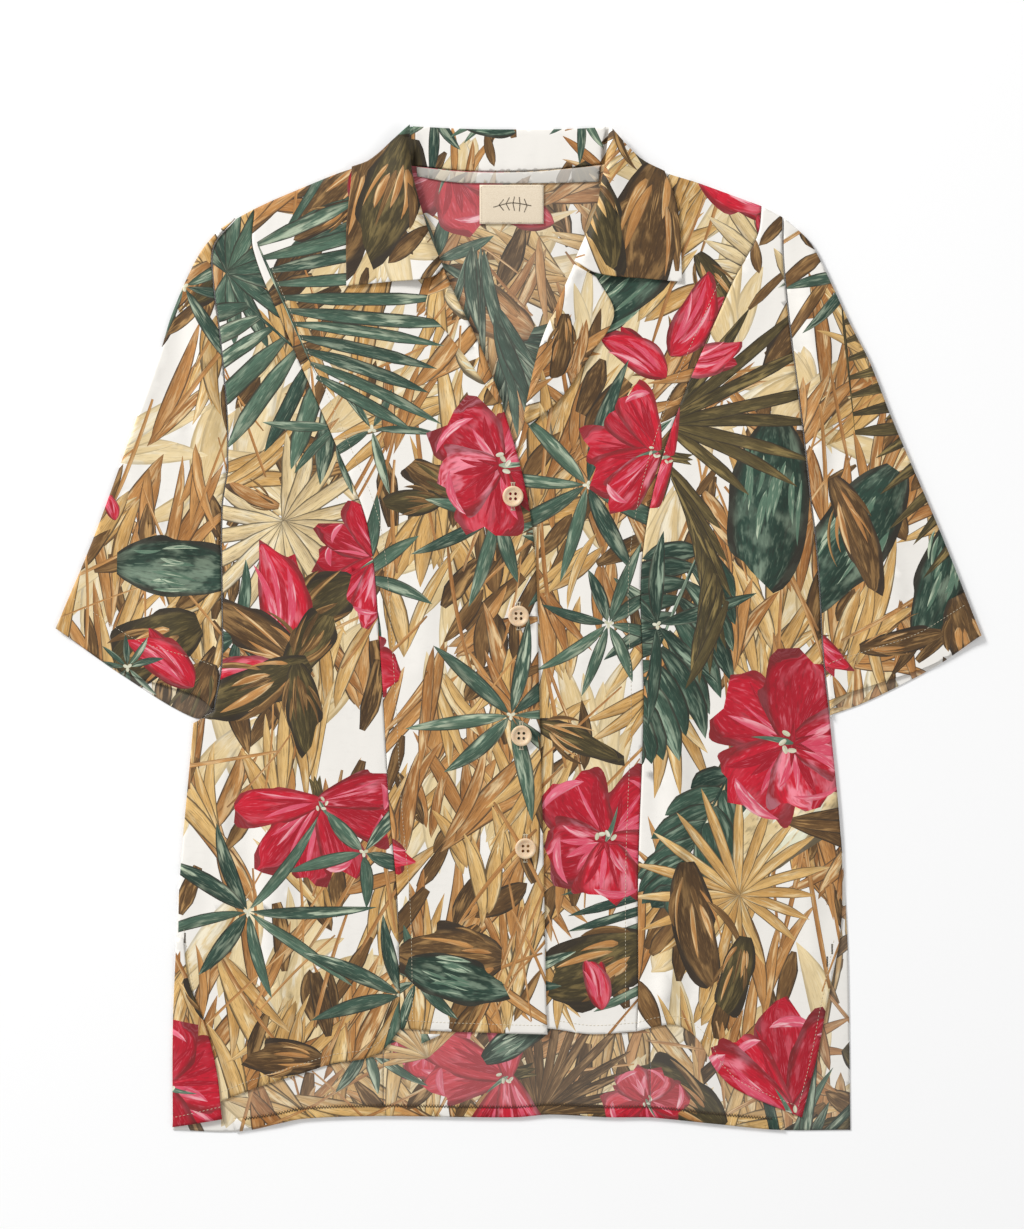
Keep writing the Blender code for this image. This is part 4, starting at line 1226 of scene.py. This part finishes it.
for side, which, outwards, design, flat, area in (
    (LEFT, "left", -1, sleeve_left, (0.18, 0.33), 0.0455),
    (RIGHT, "right", 1, sleeve_right, (0.176, 0.33), 0.044),
):
    clear = np.array([outwards * ARMHOLE_GAP, 0])
    under_arm, top_fold = line(side["underarm"]) + clear, line(side["sleeve fold"])
    top_fold[0] += clear
    layers = []
    heights = sleeve_heights((under_arm, top_fold))
    for hem, height in zip(("sleeve hem", "sleeve back hem"), heights):
        hem_line = line(side[hem])
        hem_line[0], hem_line[-1] = under_arm[-1], top_fold[-1]
        outline = ring(top_fold, hem_line[::-1], under_arm[::-1], back(side["armhole"]) + clear)
        layers.append(sheet_mesh(outline, design.brushes, height, rings=(0.4, 1.0, 2.0)))
    cloth(
        f"sleeve_{which}_tube", layers, [f"sleeve_{which}"], flat,
        [f"front_side_{which}_panel", "floor"], area,
    )
    hem_line = beside(line(side["sleeve hem"]), SLEEVE_STITCH * outwards)
    folds = np.minimum(distance(hem_line, under_arm), distance(hem_line, top_fold))
    hem_line = hem_line[within(hem_line, outline) & (folds > 3)]
    sewn(f"sleeve_{which}_hem_stitch", [hem_line], RUNNING, pale_thread, heights[0])

# ---------------------------------------------------------------------------------------------
# Camp collar and lapels
# The top collar is one folded piece: a stand inside the neck, a fall that the back lies on, and a
# leaf on each front. The lapels are the tops of the front facings, turned out.

# Height of the soft roll, from the fold to the outer edge
ROLL_COLUMNS = (0, 0.08, 0.25, 0.45, 0.7, 1)
ROLL_SHARES = (0.35, 1.0, 0.75, 0.3, 0.05, 0.0)
LEAF_ROLL = 5.0
LAPEL_ROLL = 3.0


def leaf_height(level, roll, outer, rise):
    """A collar leaf lies on its front and stands up in a soft roll along its fold."""

    def height(x, y, rim):
        points = np.column_stack([x, y])
        near, far = distance(points, roll), distance(points, outer)
        lift = rise * np.interp(near / (near + far + 1e-6), ROLL_COLUMNS, ROLL_SHARES)
        return level(x, y) + LAYER + lift + 0.15

    return height


collar_print = Print(53)
collar_print.reeds(-125, 240, 125, 362, 120, 80, 40, 0.7)
collar_print.draw([
    ("croton", -66, 366, 232, 112, {"dye": "olive", "width": 0.62}),
    ("croton", -96, 346, 262, 96, {"dye": "brown", "width": 0.6}),
    ("croton", -60, 330, 256, 90, {"dye": "olive", "width": 0.5}),
    ("croton", 62, 366, -62, 110, {"dye": "olive", "width": 0.6}),
    ("croton", 98, 330, 255, 92, {"dye": "brown", "width": 0.62}),
    ("croton", 56, 320, -80, 76, {"dye": "olive", "flame": "ochre", "width": 0.4}),
    ("star", -30, 352, 10, 46), ("fan", 8, 350, 170, 60), ("star", 50, 348, 40, 40),
    ("paddle", -18, 338, 20, 40),
])
for side, which, level in ((LEFT, "left", left_front_level), (RIGHT, "right", right_front_level)):
    roll, outer = line(side["roll"]), line(side["leaf outer"])
    outline = ring(roll, line(side["leaf end"]), outer[::-1], back(side["leaf top"]))
    height = leaf_height(level, roll, outer, LEAF_ROLL)
    layer = sheet_mesh(outline, collar_print.brushes, height, 2.6, (0.8, 1.8))
    cloth(
        f"collar_leaf_{which}_cloth", [layer], [f"collar_leaf_{which}"], (0.076, 0.115),
        [f"front_centre_{which}_panel"], 0.0053,
    )
    roll, outer = line(side["lapel roll"]), line(side["lapel outer"])
    wide, long, area = (0.03, 0.11, 0.00141) if which == "left" else (0.046, 0.125, 0.00352)
    facing = Print(59 if which == "left" else 61)
    facing.reeds(-70, 140, 70, 262, 90, 66, 20, 0.9)
    facing.draw([
        ("paddle", -62, 232, -30, 40, {"dye": "sand", "width": 0.7}),
        ("croton", 60, 250, 238, 50, {"dye": "brown", "width": 0.3}),
    ])
    height = leaf_height(level, roll, outer, LAPEL_ROLL)
    layer = sheet_mesh(ring(roll, outer[::-1]), facing.brushes, height, 2.6, (0.8,))
    cloth(
        f"lapel_{which}_cloth", [layer], [f"lapel_{which}"], (wide, long),
        [f"front_centre_{which}_panel"], area,
    )

COLLAR_GAP = 0.5
stand_top, stand_foot = line(COLLAR_FOLD), line(NECK_SEAM)
stand_top[0], stand_top[-1] = stand_top[0] + (2, 0), stand_top[-1] - (2, 0)
stand_foot[0], stand_foot[-1] = stand_foot[0] + (2, 0), stand_foot[-1] - (2, 0)
outline = ring(stand_top - (0, COLLAR_GAP), stand_foot[::-1] + (0, COLLAR_GAP))
layer = sheet_mesh(outline, collar_print.brushes, back_height, 2.6, (0.8,))
cloth("collar_stand_cloth", [layer], ["collar_stand"], (0.143, 0.034), ["collar_fall_cloth"], 0.0042)

FALL_EDGE = [(-117, 330), (-75, 314), (-6, 312), (62, 314), (102, 328)]
fold = np.vstack([back(LEFT["leaf top"]), line(COLLAR_FOLD), line(RIGHT["leaf top"])])
outline = drawn_in(ring(fold, back(FALL_EDGE)), COLLAR_GAP)
layer = sheet_mesh(
    outline, collar_print.brushes, lambda x, y, rim: np.full_like(x, WALL / 2), 4, (0.8,)
)
cloth(
    "collar_fall_cloth", [layer], ["collar_fall"], (0.225, 0.05), ["floor"], 0.0084,
    reverse=right_side,
)

# ---------------------------------------------------------------------------------------------
# Neck strip and label
# A bias strip of the same cloth, wrong side out, covers the neck seam. Below it is a cream woven
# label, stitched down all round and left without words.

TAPE_EDGE = [(-73, 325), (-50, 321), (-28, 320), (18, 320), (58, 321)]
strip_top = line(NECK_SEAM) - (0, COLLAR_GAP)
strip_top[0], strip_top[-1] = strip_top[0] + (3.5, 0), strip_top[-1] - (3.5, 0)


def strip_height(x, y, rim):
    return back_level(x, y) + LAYER + 0.1 + seam_dip(rim)


layer = sheet_mesh(ring(strip_top, back(TAPE_EDGE)), collar_print.brushes, strip_height, 2.4, (0.8,))
strip_cloth = dyed_cloth("bias strip, wrong side out", faded=0.62, dimmed=0.86)
cloth(
    "neck_tape_cloth", [layer], ["neck_tape"], (0.14, 0.011), ["back_centre_panel"], 0.0012,
    face=strip_cloth,
)

LABEL = {"left": -28, "right": 18, "top": 319, "bottom": 291}
label_weave, shader = surface("cream woven satin", 0.5)
spot = Shade(label_weave.node_tree).node("ShaderNodeTexCoord", output=3)
ribs = spot.scaled((1.0, 6.0, 1.0)).noise(900.0, 1.0)
tone = (ribs.between(0.35, 0.65) * 0.5).colours((*linear("#EADBC3"), 1), (*linear("#D3C0A4"), 1))
tone.feeds(shader, "Base Color")
ribbed = spot.node("ShaderNodeBump", {}, {"Height": ribs * 0.0001, "Distance": 1.0, "Strength": 0.6})
ribbed.feeds(shader, "Normal")
shader.inputs["Sheen Weight"].default_value = 0.2
corners = np.array([
    (LABEL["left"], LABEL["bottom"]), (LABEL["right"], LABEL["bottom"]),
    (LABEL["right"], LABEL["top"]), (LABEL["left"], LABEL["top"]),
], float)
outline = np.vstack([
    corners[i] + (corners[(i + 1) % 4] - corners[i]) * t
    for i in range(4) for t in np.arange(12)[:, None] / 12
])
layer = sheet_mesh(outline, [], strip_height, 2.5, (0.8,))
cloth(
    "neck_label_cloth", [layer], ["neck_label"], (0.046, 0.028), ["back_centre_panel"],
    face=label_weave, reverse=label_weave,
)
border = np.vstack([drawn_in(outline, 1.3), drawn_in(outline, 1.3)[:1]])
sewn(
    "label_stitch", [border], {"Pitch": 1.7, "Length": 1.3, "Thickness": 0.26, "Slant": 0.0},
    thread("cream thread", "#F1E8D4"), strip_height,
)
# A woven sprig of leaves stands in the middle
SPRIG = [(-18, 303), (-5, 306), (9, 304)]
sprig_lines = [line(SPRIG, 0.6)]
for x, lean in ((-14, 50), (-9, 62), (-4, 78), (1, 96), (6, 112)):
    foot = 305.5 - 0.012 * (x + 5) ** 2
    for turn in (lean, -lean):
        tip = (x + 5 * math.cos(math.radians(turn)), foot + 5 * math.sin(math.radians(turn)))
        sprig_lines.append(line([(x, foot), tip], 0.6))
sewn(
    "label_sprig", sprig_lines, {"Pitch": 0.4, "Length": 0.9, "Thickness": 0.34, "Slant": math.pi / 2},
    thread("umber thread", "#4A3B2C"), strip_height,
)

# ---------------------------------------------------------------------------------------------
# Hem pieces
# The back hem is turned up once to the inside. Beside the left slit the back is turned round to
# the front, right side out, and a corner of the facing peeps out under the front hem.

HEM_TURNUP = [
    (-205, -361.5), (-175, -357), (-155, -353), (-97, -351), (-3, -352), (22, -350), (66, -352),
    (95, -352), (144, -357), (190, -361),
]
TURNED_OUTER = [(-246, -222), (-247, -239), (-249, -291), (-249, -359)]
TURNED_EDGE = [(-241, -222), (-237, -253), (-225, -285), (-217, -317), (-213, -353)]
FACING_CORNER = [(-70, -291.5), (-56, -291.5), (-57, -293), (-70, -299)]


def on_back(x, y, rim):
    return WALL / 2 + LAYER + 0.3 + seam_dip(rim) + 0 * x


def turned_height(x, y, rim):
    """Two layers up, and down towards the fold at its outer edge."""
    fallen = smoothstep(0, 40, -222 - y) * (1 - smoothstep(0, 9, x + 249))
    return WALL / 2 + LAYER * (2 - fallen) + seam_dip(rim)


hem_low = line(HEM_TURNUP) + (0, 0.2)
outline = ring(hem_low, hem_low[::-1] + (0, 8.5))
layer = sheet_mesh(outline, back_print.brushes, on_back, 3, (0.8,), 3)
cloth(
    "back_hem_turnup_cloth", [layer], ["back_hem_turnup"], (0.397, 0.01), ["back_centre_panel"],
    0.0034,
)

turned_print = Print(71)
turned_print.reeds(-255, -365, -205, -220, 60, 84, 16)
turned_print.draw([
    ("croton", -236, -330, 250, 60, {"dye": "brown"}), ("hibiscus", -240, -292, -60, 96, {"petals": 7}),
    ("croton", -222, -250, 130, 40, {"dye": "olive"}),
])
outline = ring(line(TURNED_OUTER), back(TURNED_EDGE))
layer = sheet_mesh(outline, turned_print.brushes, turned_height, 3, (0.8, 1.8))
cloth(
    "back_turned_edge_cloth", [layer], ["back_turned_edge"], (0.037, 0.14), ["back_side_left_panel"],
    0.0026,
)

outline = drawn_in(np.array(FACING_CORNER[::-1], float), 0.2)
layer = sheet_mesh(outline, side_left.brushes, on_back, 2, (0.5,))
cloth(
    "facing_corner_cloth", [layer], ["facing_corner"], (0.014, 0.0105), ["back_centre_panel"], 0.00006,
)

OVERLOCK = {"Pitch": 1.0, "Length": 3.4, "Thickness": 0.5, "Slant": 0.9}
sewn("back_hem_overlock", [hem_low[2:-2] + (0, 7.6)], OVERLOCK, dark_thread, on_back)
sewn(
    "turned_edge_topstitch", [line([(-246, -351), (-232, -348), (-215, -344)])], RUNNING, pale_thread,
    lambda x, y, rim: np.full_like(x, WALL / 2 + LAYER * 2),
)

# ---------------------------------------------------------------------------------------------
# Buttons
# Four peach polyester buttons, turned with a soft rim and a dished face and drilled with four
# holes. They are sewn on through both fronts, over upright buttonholes in satin stitch.

button_plastic, shader = surface("peach polyester", 0.33)
spot = Shade(button_plastic.node_tree).node("ShaderNodeTexCoord", output=3)
cloud = spot.noise(220.0, 2.0).between(0.3, 0.7)
cloud.colours((*linear("#E3BE99"), 1), (*linear("#ECCBA8"), 1)).feeds(shader, "Base Color")
shader.inputs["Subsurface Weight"].default_value = 0.1
HOLE = 1.1  # radius
HOLE_OUT = 1.8  # from the button's middle, along X and Y
# From the middle of the face out over the rim and back under: radius share, height share
TURNED = [
    (0, 0.62), (0.5, 0.6), (0.66, 0.72), (0.78, 0.98), (0.9, 1.0), (0.98, 0.86), (1, 0.55),
    (0.93, 0.1), (0.8, 0), (0, 0),
]
BAR_END, BAR_HALF = 9.8, 1.5  # the bars across both ends of a buttonhole
LEG_END, LEG_ASIDE = 9.2, 0.9  # its two long sides
buttonholes = []
for number in range(1, 5):
    low, high = (np.array(corner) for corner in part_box(f"button_{number}"))
    middle, radius, tall = (low + high) / 2, (high[0] - low[0]) / 2, high[2] - low[2]
    profile = bpy.data.meshes.new("button profile")
    rounds = [(i, i + 1) for i in range(len(TURNED) - 1)]
    profile.from_pydata([(r * radius, 0, h * tall) for r, h in TURNED], rounds, [])
    button = put(f"button_{number}_turned", profile)
    turning = button.modifiers.new("turned", "SCREW")
    turning.steps = turning.render_steps = 48
    turning.use_merge_vertices = True
    turning.merge_threshold = 0.00001
    view = bpy.context.evaluated_depsgraph_get()
    button.data = bpy.data.meshes.new_from_object(button.evaluated_get(view))
    button.modifiers.clear()
    shell = bmesh.new()
    shell.from_mesh(button.data)
    bmesh.ops.remove_doubles(shell, verts=shell.verts, dist=0.00002)
    bmesh.ops.recalc_face_normals(shell, faces=shell.faces)
    shell.to_mesh(button.data)
    shell.clear()
    for across in (-HOLE_OUT, HOLE_OUT):
        for up in (-HOLE_OUT, HOLE_OUT):
            place = Matrix.Translation((across * MM, up * MM, 0))
            bmesh.ops.create_cone(
                shell, cap_ends=True, segments=20, radius1=HOLE * MM, radius2=HOLE * MM,
                depth=tall * 4, matrix=place,
            )
    drill_mesh = bpy.data.meshes.new("drill")
    shell.to_mesh(drill_mesh)
    shell.free()
    drill = put("drill", drill_mesh)
    holes = button.modifiers.new("holes", "BOOLEAN")
    holes.operation = "DIFFERENCE"
    holes.object = drill
    view = bpy.context.evaluated_depsgraph_get()
    button.data = bpy.data.meshes.new_from_object(button.evaluated_get(view))
    button.modifiers.clear()
    bpy.data.objects.remove(drill)
    button.data.transform(Matrix.Translation((middle[0], middle[1], low[2])))
    button.data.materials.clear()
    button.data.materials.append(button_plastic)
    button.data.shade_smooth()
    button.data.set_sharp_from_angle(angle=math.radians(35))
    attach(button, "root")
    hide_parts(f"button_{number}")
    x, y = middle[0] / MM, middle[1] / MM
    for end in (y - BAR_END, y + BAR_END):
        buttonholes.append(np.array([(x - BAR_HALF, end), (x + BAR_HALF, end)]))
    for across in (x - LEG_ASIDE, x + LEG_ASIDE):
        buttonholes.append(np.array([(across, y - LEG_END), (across, y + LEG_END)]))
sewn("buttonholes", buttonholes, SATIN | {"Length": 1.2}, pale_thread, left_front_height)

# ---------------------------------------------------------------------------------------------
# Table top, studio light and camera
# White paper on a table top, under one softbox from the upper left and a weak fill from the lower
# right, seen from straight above. None of it belongs to the shirt.

table = bpy.data.meshes.new("table top")
table.from_pydata([(-4, -4, 0), (4, -4, 0), (4, 4, 0), (-4, 4, 0)], [], [(0, 1, 2, 3)])
floor = put("floor", table)
paper, shader = surface("white paper", 0.8)
shader.inputs["Base Color"].default_value = (0.98, 0.98, 0.98, 1)
table.materials.append(paper)

DAYLIGHT = 0.52  # even light from all round
world = bpy.data.worlds.new("studio")
bpy.context.scene.world = world
world.use_nodes = True
world.node_tree.nodes["Background"].inputs["Color"].default_value = (1, 1, 1, 1)
world.node_tree.nodes["Background"].inputs["Strength"].default_value = DAYLIGHT

# name, place, width, power
LAMPS = [
    ("softbox", (-3.8, 3.6, 2.6), 1.3, 335),
    ("fill", (3.2, -1.6, 3.4), 2.4, 25),
]
for name, place, width, power in LAMPS:
    lamp = bpy.data.lights.new(name, "AREA")
    lamp.size = width
    lamp.energy = power
    light = put(name, lamp)
    light.location = place
    light.rotation_mode = "QUATERNION"
    light.rotation_quaternion = (-Vector(place)).to_track_quat("-Z", "Y")

VIEW_HEIGHT = 0.885  # metres of the table top in view, from top to bottom
VIEW_MIDDLE = (-0.0047, 0.0101)
lens = bpy.data.cameras.new("camera")
lens.lens = 85
lens.sensor_width = 36
camera = put("camera", lens)
camera.location = (*VIEW_MIDDLE, VIEW_HEIGHT * lens.lens / lens.sensor_width)
bpy.context.scene.camera = camera
bpy.context.scene.view_settings.view_transform = "Standard"
